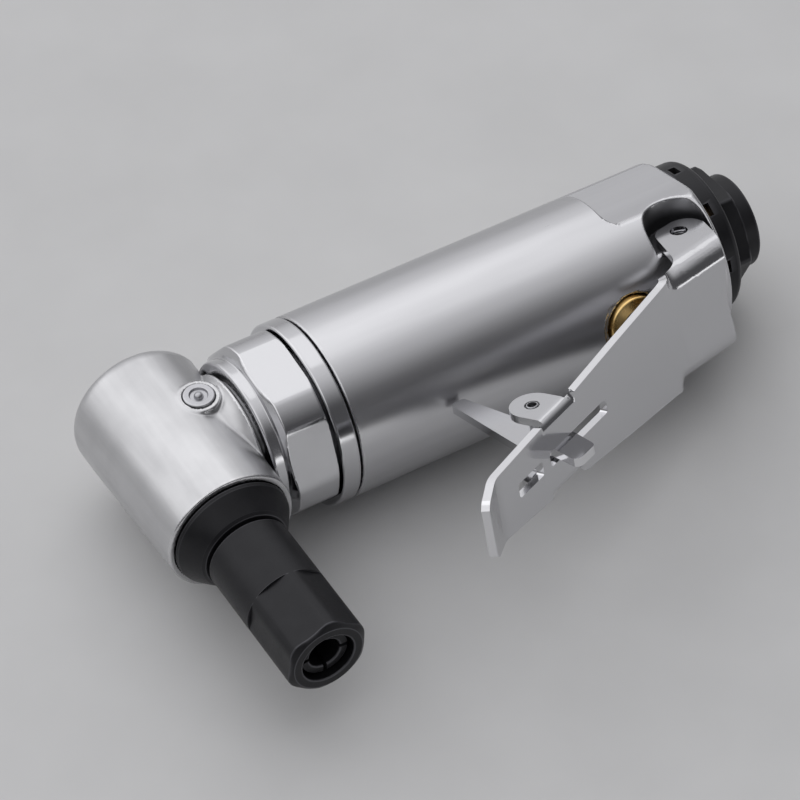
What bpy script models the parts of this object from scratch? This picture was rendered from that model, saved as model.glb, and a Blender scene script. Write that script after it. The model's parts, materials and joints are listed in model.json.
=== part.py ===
"""Right-angle air die grinder, as the separate pieces that it comes apart into on a bench.

The motor axis runs along +X and the spindle axis along -Y; they cross at the tool's reference point.
Lengths are written in millimetres, and the meshes are made in metres.
"""
import math

import bmesh
import bpy
import numpy as np
from mathutils import Matrix, Vector

MM = 0.001
PLAY = 0.3                    # clearance between pieces that touch on the real tool

# Angle head, along the spindle axis and the neck
HEAD_RADIUS = 14.0            # at the back; the casting narrows evenly towards its front rim
HEAD_RIM = 13.3
HEAD_FRONT = 19.8
HEAD_BACK = -20.5
HEAD_FILLET = 4.0
HEAD_NARROWS = -12.0
RIM_CHAMFER = 0.4
CAP_SEAT = 16.7
CAP_SEAT_RADIUS = 12.0
CAP_FLANGE_RADIUS = 12.2
CAP_NOSE = 25.7
CAP_NOSE_RADIUS = 9.3
GEAR_ROOM = 9.3
GEAR_ROOM_RADIUS = 9.6
REAR_SEAT = -14.8
NECK_ROOT = 2.0
NECK_WAIST = 11.9
FLARE_START = 6.7
FLARE_ROUND = 5.4
FLARE_TURN = 55.0
NECK_SHOULDER = 11.6
NECK_RADIUS = 12.4
NECK_END = 29.5
NECK_BORE = 8.1
PINION_CLEARANCE = 7.0
PINION_SEAT = 10.9
RING_GROOVE = (15.6, 20.0)
RING_GROOVE_RADIUS = 11.0
BOSS_PLACE = (6.0, 2.7)
BOSS_RADIUS = 4.3
BOSS_TOP = 13.6
BOSS_CHAMFER = 0.5
FITTING_RADIUS = 2.9
FITTING_STEM = 1.9
FITTING_SEAT = 11.4
FITTING_FOOT = 9.0
FITTING_CUP = (1.9, 1.7, 0.5)         # radius at the rim, radius at the floor, depth
FITTING_BALL = 0.9

# Clamp nut and ring
NUT_FRONT = 12.3
NUT_STEP = 14.9
NUT_REAR = 24.6
NUT_COLLAR = 16.3
NUT_CORNER = 18.6
NUT_ACROSS = 34.8
NUT_TURN = 37.7
RING_FRONT = 25.1
RING_REAR = 29.0

# Barrel
BARREL_RADIUS = 19.0
BARREL_FRONT = 29.4
BARREL_REAR = 115.0
BARREL_FILLET = 1.8
THREAD_FRONT = 20.0
THREAD_RADIUS = 15.2
BARREL_BORE = 12.8
BARREL_FLOOR = 79.0
LEVER_CLOCKING = math.radians(18.0)   # lever plane, turned about the motor axis from the spindle
PAD_FRONT = 94.8
PAD_TOP = 10.2
PAD_CORNER = 5.0
PAD_HEIGHT = 16.6
PAD_OPEN = 102.8              # from here to the rear the pads have no upper edge
EXHAUST_PLACE = (-11.5, 8.6)
EXHAUST_RADIUS = 2.0
FEED_RADIUS = 2.4
FEED_DEPTH = -3.6
AIR_FRONT = 94.0
AIR_RADIUS = 4.2

# Air motor
MOTOR_RADIUS = 12.5
SPACER = (29.9, 33.7)
FRONT_PLATE = (34.0, 40.0)
LINER = (40.3, 71.7)
REAR_PLATE = (72.0, 78.0)
PLATE_WEB = 1.8
LINER_BORE = 9.9
LINER_OFFSET = 0.8
ROTOR_RADIUS = 8.5
ROTOR = (40.6, 71.4)
SHAFT_RADIUS = 3.8
SHAFT_END = 77.6
SHAFT_HOLE = 4.3
VANE_COUNT = 4
VANE_THICKNESS = 1.4
VANE_FOOT = 4.7
VANE_TIP = 8.7
VANE_SLOT = 2.0
DOWEL_RADIUS = 0.8
DOWEL_PLACE = -10.8
DOWEL_FLOOR = 1.5
SPACER_BORE = 9.0
PORT_RADIUS = 1.6
PORT_PITCH = 6.3
PORT_COUNT = 4
COUPLING = (28.1, 31.0)
TONGUE_HALF = 1.2
TONGUE_RADIUS = 3.4

# Bearings: outer radius, inner radius, and where each one starts and ends along its axis
SMALL_BEARING = (7.8, 4.1)
HEAD_BEARING = (10.9, 4.3)
REAR_BEARING = (7.9, 3.3)
ROTOR_FRONT_BEARING = (34.1, 38.0)
ROTOR_REAR_BEARING = (74.0, 77.8)
PINION_FRONT_BEARING = (11.2, 16.2)
PINION_REAR_BEARING = (22.3, 27.3)
PINION_SPACER = (16.5, 22.0)
PINION_SPACER_RADII = (7.7, 5.2)
SPINDLE_FRONT_BEARING = (9.6, 16.4)
SPINDLE_REAR_BEARING = (-14.5, -9.6)
RACE_SHARE = 0.27
SHIELD_SINK = 0.4

# Bevel gears: tooth counts, pitch radii at the large end, and tooth form in shares of the pitch
PINION_TEETH = 12
GEAR_TEETH = 16
PINION_PITCH = 6.0
GEAR_PITCH = 8.0
ADDENDUM = 0.8
DEDENDUM = 1.2
ROOT_SHARE = 0.30
TIP_SHARE = 0.13
TOOTH_INNER_END = 0.68
PINION_NOSE = (6.0, 2.6)              # place along the axis and radius, here and below
PINION_HUB = ((9.6, 4.9), (10.6, 4.9))
GEAR_FACE = 4.6
GEAR_HUB = ((8.0, 7.0), (9.1, 6.2))

# Spindle, collet and nut, along the spindle axis
SPINDLE_TAIL = (-14.5, -9.4)
SPINDLE_TAIL_RADIUS = 3.0
SPINDLE_RADIUS = 4.0
SPINDLE_SHOULDER = 6.4
SHOULDER = (16.8, 26.0)
NOSE_RADIUS = 6.2
NOSE_CONE = 37.5
NOSE_CONE_RADIUS = 5.3
NOSE_END = 40.0
COLLET_SEAT = 29.0
COLLET_BORE = 3.25
COLLET_FRONT = 55.0
COLLET_BODY = 4.15
COLLET_HEAD = 5.6
COLLET_CONE = (38.0, 44.0)
COLLET_LAND = 50.0
COLLET_MOUTH = 4.9
COLLET_SLIT = 0.8
COLLET_SLIT_END = 34.0
COLLET_NUT = (26.3, 56.5)
COLLET_NUT_RADIUS = 8.5
COLLET_NUT_STEP = 41.2
COLLET_NUT_ACROSS = 15.8
COLLET_NUT_TURN = 53.0
COLLET_NUT_MOUTH = 5.4
COLLET_NUT_ROOM = (41.0, 51.0)
COLLET_NUT_ROOM_RADIUS = 6.0

# Valve, across the barrel under the lever
VALVE_PLACE = 92.0
VALVE_BORE = 6.1
VALVE_FLOOR = -7.0
BUSH_RADIUS = 5.8
BUSH = (9.0, 19.4)
COUNTERBORE = 7.0
COUNTERBORE_FLOOR = 18.4
PLUNGER_RADIUS = 2.4
PLUNGER_TOP = 28.0
PLUNGER_DISC = (5.2, 7.8)
PLUNGER_DISC_RADIUS = 4.6
SEAL_PLACE = 14.0
SEAL_RADIUS = 3.4
SEAL_WIRE = 0.62
PLUNGER_GUIDE = (2.0, 1.5)            # length and radius of the stub that centres the spring
VALVE_COIL = {"radius": 3.4, "wire": 0.45, "start": -6.25, "end": 4.45, "turns": 5}

# Inlet and exhaust, on an axis set off from the barrel's
INLET_OFFSET = -2.5
INLET_BORE = 5.6
INLET_SHANK = 7.9
INLET_SOCKET = 8.2
INLET_FRONT = 103.3
SCREEN = (101.3, 102.5)
INLET_HEX = (120.9, 124.8)
INLET_HEX_ACROSS = 23.0
INLET_HEX_TURN = 41.0
INLET_HEX_CORNER = 13.3
INLET_NECK = (125.5, 8.6)             # end and radius of the groove behind the hexagon
INLET_REAR = 129.0
INLET_RIM = 9.9
DEFLECTOR = (115.3, 120.6)
DEFLECTOR_RADIUS = 16.0
DEFLECTOR_WALL = 1.7
DEFLECTOR_SLOTS = 8
DEFLECTOR_SLOT = (1.0, 2.6, 1.4)      # start and end behind the front edge, half of the width
SCREEN_HOLE = 1.2
SCREEN_CIRCLE = 4.4
MUFFLER_BORE = 9.2

# Throttle lever, in the lever plane: distance along the motor axis, distance out from it
LEVER_PIN = (107.3, 13.6)
LEVER_PIN_RADIUS = 1.5
LEVER_PIN_BORE = 0.8
LEVER_PIN_HALF = 12.3
EAR_POCKET = 6.5
EAR_POCKET_FLOOR = 10.5
WEB_REAR = (110.05, 24.0)
WEB_BEND = (97.45, 27.5)
WEB_BEND_ROUND = 6.0
ARM_SLOPE = math.radians(27.3)
ARM_LENGTH = 67.5
TIP_ROUND = 7.0
TIP_BEND = (33.2, 63.55)
TIP = (32.4, 64.5)
TIP_TAPER = ((33.2, 5.9), (37.5, 6.7))          # place along the motor axis, half of the width there
ARM_TAPER = ((59.0, 8.3), (78.0, 10.5), (97.45, 12.5))

# The lever's sheet before it is folded: distance from its rear edge, from its middle line, corner radius
SHEET = 1.6
EAR_OUTLINE = [(18.0, 12.05, 0), (9.3, 13.6, 5.0), (3.4, 25.2, 3.6), (-5.7, 25.0, 4.2), (-5.4, 19.5, 2.5),
               (-1.2, 10.5, 4.0), (0.0, 0.0, 0)]
EAR_HOLE = (-0.13, 10.756)            # distance from the rear edge, depth under the web's outer face
EAR_FOLD = (8.0, 4.5)                 # where the fold starts, out from the middle line, and its radius
EAR_FADE = (9.5, 16.5)                # along the sheet, where the fold opens out into the flat arm
TAB_FOLD = (6.0, 2.2)
TAB_FADE = (4.6, 6.0)                 # the same, on either side of the tab's middle
TAB_RADIUS = 4.4

# Lock lever on the arm of the throttle lever
LOCK_ALONG = 44.9
LOCK_DROP = -5.75
LOCK_HALF = 0.9
LOCK_PIN_RADIUS = 1.2
LOCK_PIN_HALF = 8.3
LOCK_SLOT_HALF = 1.5
LOCK_SLOT = (29.4, 49.9)
TIP_SLOT = (52.5, 61.0)
LOCK_COIL = {"radius": 2.2, "wire": 0.35, "start": 1.7, "end": 5.6, "turns": 5}
LOCK_OUTLINE = [(48.9, 20.2, 0.6), (51.9, 19.9, 0.6), (57.6, 40.2, 3.0), (61.0, 45.7, 1.5),
                (61.7, 52.7, 1.4), (56.1, 55.5, 1.4), (54.9, 47.6, 1.0), (50.9, 44.6, 3.0)]

COIL_STEPS = 8                # facets in each turn of a spring

# Colour, roughness and metallic value of each finish
FINISHES = {
    "satin_aluminium": ((0.60, 0.60, 0.61), 0.38, 1.0),
    "satin_chrome": ((0.55, 0.55, 0.57), 0.30, 1.0),
    "bright_chrome": ((0.72, 0.72, 0.74), 0.12, 1.0),
    "ground_steel": ((0.50, 0.50, 0.52), 0.32, 1.0),
    "black_oxide": ((0.020, 0.020, 0.023), 0.42, 0.6),
    "brass": ((0.78, 0.55, 0.22), 0.25, 1.0),
    "bronze": ((0.45, 0.33, 0.20), 0.60, 0.8),
    "rubber": ((0.015, 0.015, 0.015), 0.80, 0.0),
    "vane_composite": ((0.22, 0.14, 0.07), 0.70, 0.0),
}


def arc(centre, radius, start, end, steps):
    """Points along an arc; the angles are in degrees."""
    angles = np.radians(np.linspace(start, end, steps + 1))
    return [(centre[0] + radius * math.cos(a), centre[1] + radius * math.sin(a)) for a in angles]


def rounded(corners, closed=True, steps=4):
    """Outline through corners of (x, y, radius), each turned with an arc of that radius."""
    outline = []
    last = len(corners) - 1
    for index, (x, y, radius) in enumerate(corners):
        corner = Vector((x, y))
        open_end = not closed and index in (0, last)
        if radius == 0 or open_end:
            outline.append((x, y))
            continue
        before = (Vector(corners[index - 1][:2]) - corner).normalized()
        after = (Vector(corners[(index + 1) % len(corners)][:2]) - corner).normalized()
        half = before.angle(after) / 2
        centre = corner + (before + after).normalized() * (radius / math.sin(half))
        first = corner + before * (radius / math.tan(half)) - centre
        second = corner + after * (radius / math.tan(half)) - centre
        sweep = first.angle_signed(second)
        for step in range(steps + 1):
            turn = Matrix.Rotation(-sweep * step / steps, 2)
            outline.append(tuple(centre + turn @ first))
    return outline


def close_up(bm):
    bmesh.ops.remove_doubles(bm, verts=bm.verts, dist=1e-7)
    bmesh.ops.recalc_face_normals(bm, faces=bm.faces)
    return bm


def turned(profile, steps=32, seam=0.0):
    """Profile of (along, radius) points spun about local X; it may start and end on the axis.

    The seam is where the first facet starts, in shares of a facet.
    """
    bm = bmesh.new()
    start = math.tau * seam / steps
    side, height = math.cos(start) * MM, math.sin(start) * MM
    verts = [bm.verts.new((along * MM, radius * side, radius * height)) for along, radius in profile]
    pairs = list(zip(verts, verts[1:]))
    if profile[0][1] > 0:
        pairs.append((verts[-1], verts[0]))
    edges = [bm.edges.new(pair) for pair in pairs]
    bmesh.ops.spin(bm, geom=verts + edges, cent=(0, 0, 0), axis=(1, 0, 0), angle=math.tau,
                   steps=steps, use_merge=True)
    return close_up(bm)


def rod(radius, low, high, steps=20, seam=0.0):
    return turned([(low, 0), (low, radius), (high, radius), (high, 0)], steps, seam)


def tube(outer, inner, low, high, steps=32):
    return turned([(low, inner), (low, outer), (high, outer), (high, inner)], steps)


def plate(outline, low, high):
    """Flat outline in local XY, extruded from low to high along local Z."""
    bm = bmesh.new()
    face = bm.faces.new([bm.verts.new((x * MM, y * MM, low * MM)) for x, y in outline])
    grown = bmesh.ops.extrude_face_region(bm, geom=[face])["geom"]
    moved = [item for item in grown if isinstance(item, bmesh.types.BMVert)]
    bmesh.ops.translate(bm, verts=moved, vec=(0, 0, (high - low) * MM))
    return close_up(bm)


def block(low, high):
    """Box between two opposite corners."""
    (x0, y0, z0), (x1, y1, z1) = low, high
    return plate([(x0, y0), (x1, y0), (x1, y1), (x0, y1)], z0, z1)


def loft(rings, closed=False):
    """Skin over rings of equal length, with the last joined to the first or both ends capped."""
    bm = bmesh.new()
    layers = [[bm.verts.new(Vector(point) * MM) for point in ring] for ring in rings]
    neighbours = list(zip(layers, layers[1:]))
    if closed:
        neighbours.append((layers[-1], layers[0]))
    else:
        bm.faces.new(layers[0])
        bm.faces.new(layers[-1])
    count = len(layers[0])
    for lower, upper in neighbours:
        for side in range(count):
            after = (side + 1) % count
            bm.faces.new((lower[side], lower[after], upper[after], upper[side]))
    return close_up(bm)


def hex_ring(across, low, high, turn):
    """Cutter that leaves a hexagon of this width: a hexagonal ring about local X."""
    outline = []
    for scale in (1.0, 1.6):
        radius = scale * across / 2 / math.cos(math.pi / 6)
        angles = [math.radians(turn + 30 + 60 * side) for side in range(6)]
        outline.append([(radius * math.cos(a), radius * math.sin(a)) for a in angles])
    inner, outer = outline
    rings = [[(low, *point) for point in inner], [(low, *point) for point in outer],
             [(high, *point) for point in outer], [(high, *point) for point in inner]]
    return loft(rings, closed=True)


def moved(bm, place=(0, 0, 0), matrix=None):
    if matrix is not None:
        bm.transform(matrix)
    bm.transform(Matrix.Translation(Vector(place) * MM))
    return bm


def joined(shapes):
    """Several separate cutters in one mesh."""
    whole = bmesh.new()
    for shape in shapes:
        mesh = bpy.data.meshes.new("cutter")
        shape.to_mesh(mesh)
        whole.from_mesh(mesh)
        bpy.data.meshes.remove(mesh)
    return whole


def frame(name, parent=None, place=(0, 0, 0), turn=(0, 0, 0)):
    """Empty that carries the pieces of one axis."""
    empty = bpy.data.objects.new(name, None)
    bpy.context.scene.collection.objects.link(empty)
    empty.parent = parent
    empty.location = Vector(place) * MM
    empty.rotation_euler = turn
    return empty


def solid(name, bm, parent):
    mesh = bpy.data.meshes.new(name)
    bm.to_mesh(mesh)
    piece = bpy.data.objects.new(name, mesh)
    bpy.context.scene.collection.objects.link(piece)
    piece.parent = parent
    return piece


def paint(piece, finish):
    colour, roughness, metallic = FINISHES[finish]
    material = bpy.data.materials.new(f"{piece.name}_{finish}")
    material.use_nodes = True
    shader = material.node_tree.nodes["Principled BSDF"]
    shader.inputs["Base Color"].default_value = (*colour, 1.0)
    shader.inputs["Roughness"].default_value = roughness
    shader.inputs["Metallic"].default_value = metallic
    piece.data.materials.append(material)


def add_piece(name, bm, parent, finish):
    piece = solid(name, bm, parent)
    piece.data.shade_smooth()
    piece.data.set_sharp_from_angle(angle=math.radians(35))
    paint(piece, finish)
    return piece


def combine(piece, bm, operation, parent=None):
    """Boolean with a hidden helper solid, in the piece's own frame unless another is given."""
    helper = solid(f"{piece.name}_{operation.lower()}_{len(piece.modifiers)}", bm, parent or piece.parent)
    helper.hide_render = True
    helper.display_type = "WIRE"
    step = piece.modifiers.new(operation.title(), "BOOLEAN")
    step.operation = operation
    step.solver = "EXACT"
    step.object = helper


def cut(piece, bm, parent=None):
    combine(piece, bm, "DIFFERENCE", parent)


def weld(piece, bm, parent=None):
    combine(piece, bm, "UNION", parent)


def upright(x, y):
    """Turns a local X axis to point up through this place."""
    return Matrix.Translation((x * MM, y * MM, 0)) @ Matrix.Rotation(-math.pi / 2, 4, "Y")


def make_angle_head(tool, spindle_line):
    outer = [(HEAD_BACK, 0)]
    outer += arc((HEAD_BACK + HEAD_FILLET, HEAD_RADIUS - HEAD_FILLET), HEAD_FILLET, 180, 90, 4)
    outer += [(HEAD_NARROWS, HEAD_RADIUS), (HEAD_FRONT - RIM_CHAMFER, HEAD_RIM),
              (HEAD_FRONT, HEAD_RIM - RIM_CHAMFER), (HEAD_FRONT, 0)]
    head = add_piece("angle_head", turned(outer, 32), spindle_line, "satin_aluminium")
    cut(head, rod(NUT_COLLAR + 2, NUT_FRONT - PLAY, HEAD_RADIUS + 2, 32, 0.5), tool)
    groove_front, groove_rear = RING_GROOVE
    flare = arc((FLARE_START, NECK_WAIST + FLARE_ROUND), FLARE_ROUND, -90, FLARE_TURN - 90, 3)
    neck = [(NECK_ROOT, 0), (NECK_ROOT, NECK_WAIST), *flare, (NECK_SHOULDER, flare[-1][1]),
            (NECK_SHOULDER, NECK_RADIUS), (groove_front, NECK_RADIUS), (groove_front, RING_GROOVE_RADIUS),
            (groove_rear, RING_GROOVE_RADIUS), (groove_rear, NECK_RADIUS), (NECK_END, NECK_RADIUS),
            (NECK_END, 0)]
    weld(head, turned(neck, 26, 0.4), tool)
    boss = [(NECK_ROOT, 0), (NECK_ROOT, BOSS_RADIUS), (BOSS_TOP - BOSS_CHAMFER, BOSS_RADIUS),
            (BOSS_TOP, BOSS_RADIUS - BOSS_CHAMFER), (BOSS_TOP, 0)]
    weld(head, moved(turned(boss, 16, 0.4), matrix=upright(*BOSS_PLACE)), tool)
    front_seat, rear_seat = HEAD_BEARING[0] + PLAY, REAR_BEARING[0] + PLAY
    room = [(REAR_SEAT, 0), (REAR_SEAT, rear_seat), (-GEAR_ROOM, rear_seat), (-GEAR_ROOM, GEAR_ROOM_RADIUS),
            (GEAR_ROOM, GEAR_ROOM_RADIUS), (GEAR_ROOM, front_seat), (CAP_SEAT, front_seat),
            (CAP_SEAT, CAP_SEAT_RADIUS), (HEAD_FRONT + 1, CAP_SEAT_RADIUS), (HEAD_FRONT + 1, 0)]
    cut(head, turned(room, 22))
    bore = [(0, 0), (0, PINION_CLEARANCE), (PINION_SEAT, PINION_CLEARANCE), (PINION_SEAT, NECK_BORE),
            (NECK_END + 1, NECK_BORE), (NECK_END + 1, 0)]
    cut(head, turned(bore, 18, 0.3), tool)
    stem, flange = FITTING_STEM + PLAY, FITTING_RADIUS + PLAY
    hole = [(NECK_ROOT + 2, 0), (NECK_ROOT + 2, stem), (FITTING_SEAT, stem), (FITTING_SEAT, flange),
            (BOSS_TOP + 1, flange), (BOSS_TOP + 1, 0)]
    cut(head, moved(turned(hole, 12), matrix=upright(*BOSS_PLACE)), tool)


def make_grease_fitting(tool):
    seat = FITTING_SEAT + PLAY
    top = BOSS_TOP + PLAY
    cup_rim, cup_floor, cup_depth = FITTING_CUP
    ball = arc((top - cup_depth, 0), FITTING_BALL, 90, 0, 3)
    profile = [(FITTING_FOOT, 0), (FITTING_FOOT, FITTING_STEM), (seat, FITTING_STEM), (seat, FITTING_RADIUS),
               (top - PLAY, FITTING_RADIUS), (top, FITTING_RADIUS - PLAY), (top, cup_rim),
               (top - cup_depth, cup_floor)]
    bm = moved(turned(profile + ball, 12), matrix=upright(*BOSS_PLACE))
    add_piece("grease_fitting", bm, tool, "ground_steel")


def make_front_cap(spindle_line):
    plug = CAP_SEAT_RADIUS - PLAY
    flange = HEAD_FRONT + PLAY
    bore = SPINDLE_SHOULDER + 0.5
    profile = [(CAP_SEAT + PLAY, bore), (CAP_SEAT + PLAY, plug), (flange, plug), (flange, CAP_FLANGE_RADIUS),
               (flange + 0.7, CAP_FLANGE_RADIUS - 0.2), (CAP_NOSE - 0.5, CAP_NOSE_RADIUS),
               (CAP_NOSE, CAP_NOSE_RADIUS - 0.6), (CAP_NOSE, bore)]
    add_piece("front_cap", turned(profile, 22), spindle_line, "black_oxide")


def make_spindle(spindle_line):
    rear, tail_end = SPINDLE_TAIL
    tail = SPINDLE_TAIL_RADIUS
    shoulder_rear, shoulder_front = SHOULDER
    socket = COLLET_BODY + 0.35
    profile = [(rear, 0), (rear, tail - PLAY), (rear + PLAY, tail), (tail_end, tail),
               (tail_end, SPINDLE_RADIUS), (shoulder_rear, SPINDLE_RADIUS), (shoulder_rear, SPINDLE_SHOULDER),
               (shoulder_front, SPINDLE_SHOULDER), (shoulder_front, NOSE_RADIUS), (NOSE_END, NOSE_RADIUS),
               (NOSE_END, NOSE_CONE_RADIUS), (NOSE_CONE, socket), (COLLET_SEAT, socket), (COLLET_SEAT, 0)]
    add_piece("spindle", turned(profile, 14), spindle_line, "ground_steel")


def make_collet(spindle_line):
    rear = COLLET_SEAT + 0.5
    cone_start, cone_end = COLLET_CONE
    profile = [(rear, COLLET_BORE), (rear, COLLET_BODY), (cone_start, COLLET_BODY), (cone_end, COLLET_HEAD),
               (COLLET_LAND, COLLET_HEAD), (COLLET_FRONT, COLLET_MOUTH), (COLLET_FRONT, COLLET_BORE)]
    collet = add_piece("collet", turned(profile, 20, 0.5), spindle_line, "black_oxide")
    half, wide, front = COLLET_SLIT / 2, COLLET_HEAD + 2, COLLET_FRONT + 2
    cut(collet, block((COLLET_SLIT_END, -wide, -half), (front, wide, half)))
    cut(collet, block((COLLET_SLIT_END, -half, -wide), (front, half, wide)))


def make_collet_nut(spindle_line):
    rear, front = COLLET_NUT
    radius = COLLET_NUT_RADIUS
    thread = NOSE_RADIUS + 0.4
    room, room_end = COLLET_NUT_ROOM
    profile = [(rear, thread), (rear, radius - 0.5), (rear + 0.5, radius), (front - 1.0, radius),
               (front, radius - 1.2), (front, COLLET_NUT_MOUTH), (room_end, COLLET_NUT_ROOM_RADIUS),
               (room, COLLET_NUT_ROOM_RADIUS), (room, thread)]
    nut = add_piece("collet_nut", turned(profile, 24), spindle_line, "black_oxide")
    cut(nut, hex_ring(COLLET_NUT_ACROSS, COLLET_NUT_STEP, front + 1, COLLET_NUT_TURN))


def make_clamp_nut(tool):
    lip = NECK_RADIUS + 0.35
    thread = THREAD_RADIUS + PLAY
    lip_end = RING_GROOVE[0]
    profile = [(NUT_FRONT, lip), (NUT_FRONT, NUT_COLLAR - 0.5), (NUT_FRONT + 0.5, NUT_COLLAR),
               (NUT_STEP - 0.3, NUT_COLLAR), (NUT_STEP, NUT_COLLAR + 0.7), (NUT_STEP + 0.8, NUT_CORNER),
               (NUT_REAR - 0.5, NUT_CORNER), (NUT_REAR, NUT_CORNER - 0.5), (NUT_REAR, thread),
               (lip_end, thread), (lip_end, lip)]
    nut = add_piece("clamp_nut", turned(profile, 24), tool, "bright_chrome")
    cut(nut, hex_ring(NUT_ACROSS, NUT_STEP - 0.1, NUT_REAR + 1, NUT_TURN))


def make_clamp_ring(tool):
    inner = THREAD_RADIUS + PLAY
    outer = BARREL_RADIUS
    profile = [(RING_FRONT, inner), (RING_FRONT, outer - 0.4), (RING_FRONT + 0.4, outer),
               (RING_REAR - 0.4, outer), (RING_REAR, outer - 0.4), (RING_REAR, inner)]
    add_piece("clamp_ring", turned(profile, 28), tool, "bright_chrome")


def make_neck_retaining_ring(tool):
    front, rear = RING_GROOVE
    bm = tube(THREAD_RADIUS - 0.1, RING_GROOVE_RADIUS + PLAY, front + PLAY, rear - PLAY, 20)
    ring = add_piece("neck_retaining_ring", bm, tool, "ground_steel")
    cut(ring, block((front, -1, 5), (rear, 1, 20)))


def make_barrel(handle, valve_line, inlet_line):
    edge = arc((BARREL_REAR - BARREL_FILLET, BARREL_RADIUS - BARREL_FILLET), BARREL_FILLET, 90, 0, 3)
    profile = [(BARREL_FLOOR, 0), (BARREL_FLOOR, BARREL_BORE), (THREAD_FRONT, BARREL_BORE),
               (THREAD_FRONT, THREAD_RADIUS - 0.4), (THREAD_FRONT + 0.4, THREAD_RADIUS),
               (BARREL_FRONT, THREAD_RADIUS), (BARREL_FRONT, BARREL_RADIUS - 0.4),
               (BARREL_FRONT + 0.4, BARREL_RADIUS)] + edge + [(BARREL_REAR, 0)]
    barrel = add_piece("motor_housing", turned(profile, 40), handle, "satin_chrome")
    beyond, low, high = BARREL_REAR + 5, -BARREL_RADIUS, BARREL_RADIUS + 5
    pad = rounded([(PAD_FRONT, low, 0), (beyond, low, 0), (beyond, high, 0), (PAD_OPEN, high, 0),
                   (PAD_OPEN, PAD_TOP, 0), (PAD_FRONT, PAD_TOP, PAD_CORNER)])
    pin_x, pin_y = LEVER_PIN
    pocket = arc(LEVER_PIN, EAR_POCKET, 180, 360, 9)
    pocket += [(pin_x + EAR_POCKET, high), (pin_x - EAR_POCKET, high)]
    for side in (-1, 1):
        cut(barrel, plate(pad, *sorted((side * PAD_HEIGHT, side * beyond))))
        cut(barrel, plate(pocket, *sorted((side * EAR_POCKET_FLOOR, side * high))))
    cut(barrel, across(LEVER_PIN_RADIUS + PLAY, LEVER_PIN, EAR_POCKET_FLOOR + 2))
    chamber = [(VALVE_FLOOR, 0), (VALVE_FLOOR, VALVE_BORE), (COUNTERBORE_FLOOR, VALVE_BORE),
               (COUNTERBORE_FLOOR, COUNTERBORE), (high, COUNTERBORE), (high, 0)]
    cut(barrel, turned(chamber, 18), valve_line)
    socket = SCREEN[0] - PLAY
    inlet = [(AIR_FRONT, 0), (AIR_FRONT, AIR_RADIUS), (socket, AIR_RADIUS), (socket, INLET_SOCKET),
             (beyond, INLET_SOCKET), (beyond, 0)]
    cut(barrel, turned(inlet, 18, 0.3), inlet_line)
    depth, spread = EXHAUST_PLACE
    exhaust = rod(EXHAUST_RADIUS, BARREL_FLOOR - 2, beyond, 10)
    cut(barrel, joined([moved(exhaust.copy(), (0, depth, side * spread)) for side in (-1, 1)]))
    cut(barrel, moved(rod(FEED_RADIUS, BARREL_FLOOR - 2, VALVE_PLACE - 3, 10), (0, FEED_DEPTH, 0)))


def make_motor(handle):
    add_piece("motor_spacer", tube(MOTOR_RADIUS, SPACER_BORE, *SPACER, 16), handle, "ground_steel")
    seat = SMALL_BEARING[0] + PLAY
    dowel_hole = DOWEL_RADIUS + PLAY
    plates = {"front_end_plate": FRONT_PLATE, "rear_end_plate": REAR_PLATE[::-1]}
    for name, (bearing_side, inner_side) in plates.items():
        inward = math.copysign(1.0, inner_side - bearing_side)
        web_edge = inner_side - inward * PLATE_WEB
        profile = [(bearing_side, seat), (bearing_side, MOTOR_RADIUS), (inner_side, MOTOR_RADIUS),
                   (inner_side, SHAFT_HOLE), (web_edge, SHAFT_HOLE), (web_edge, seat)]
        end_plate = add_piece(name, turned(profile, 18), handle, "ground_steel")
        depth = sorted((bearing_side + inward * DOWEL_FLOOR, inner_side + inward))
        cut(end_plate, moved(rod(dowel_hole, *depth, 12), (0, DOWEL_PLACE, 0)))
    liner = add_piece("cylinder_liner", rod(MOTOR_RADIUS, *LINER, 24), handle, "ground_steel")
    front, rear = LINER
    cut(liner, moved(rod(LINER_BORE, front - 1, rear + 1, 24, 0.5), (0, LINER_OFFSET, 0)))
    cut(liner, moved(rod(dowel_hole, front - 1, rear + 1, 12), (0, DOWEL_PLACE, 0)))
    port = moved(rod(PORT_RADIUS, LINER_BORE - 3, MOTOR_RADIUS + 3, 12, 0.4),
                 matrix=Matrix.Rotation(math.pi / 2, 4, "Z"))
    ports = [moved(port.copy(), (front + PORT_PITCH * (index + 1), 0, 0)) for index in range(PORT_COUNT)]
    cut(liner, joined(ports))
    bm = moved(rod(DOWEL_RADIUS, front - 4, rear + 4, 12), (0, DOWEL_PLACE, 0))
    add_piece("alignment_pin", bm, handle, "ground_steel")
    make_bearing("rotor_front_bearing", SMALL_BEARING, *ROTOR_FRONT_BEARING, handle)
    make_bearing("rotor_rear_bearing", SMALL_BEARING, *ROTOR_REAR_BEARING, handle)


def make_bearing(name, radii, start, end, parent):
    """Shielded ball bearing: two races, with a shield set back between them on one side."""
    outer, inner = radii
    wall = (outer - inner) * RACE_SHARE
    sink = SHIELD_SINK
    profile = [(start, inner), (start, outer), (end, outer), (end, outer - wall), (end - sink, outer - wall),
               (end - sink, inner + wall), (end, inner + wall), (end, inner)]
    add_piece(name, turned(profile, 12), parent, "ground_steel")


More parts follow.
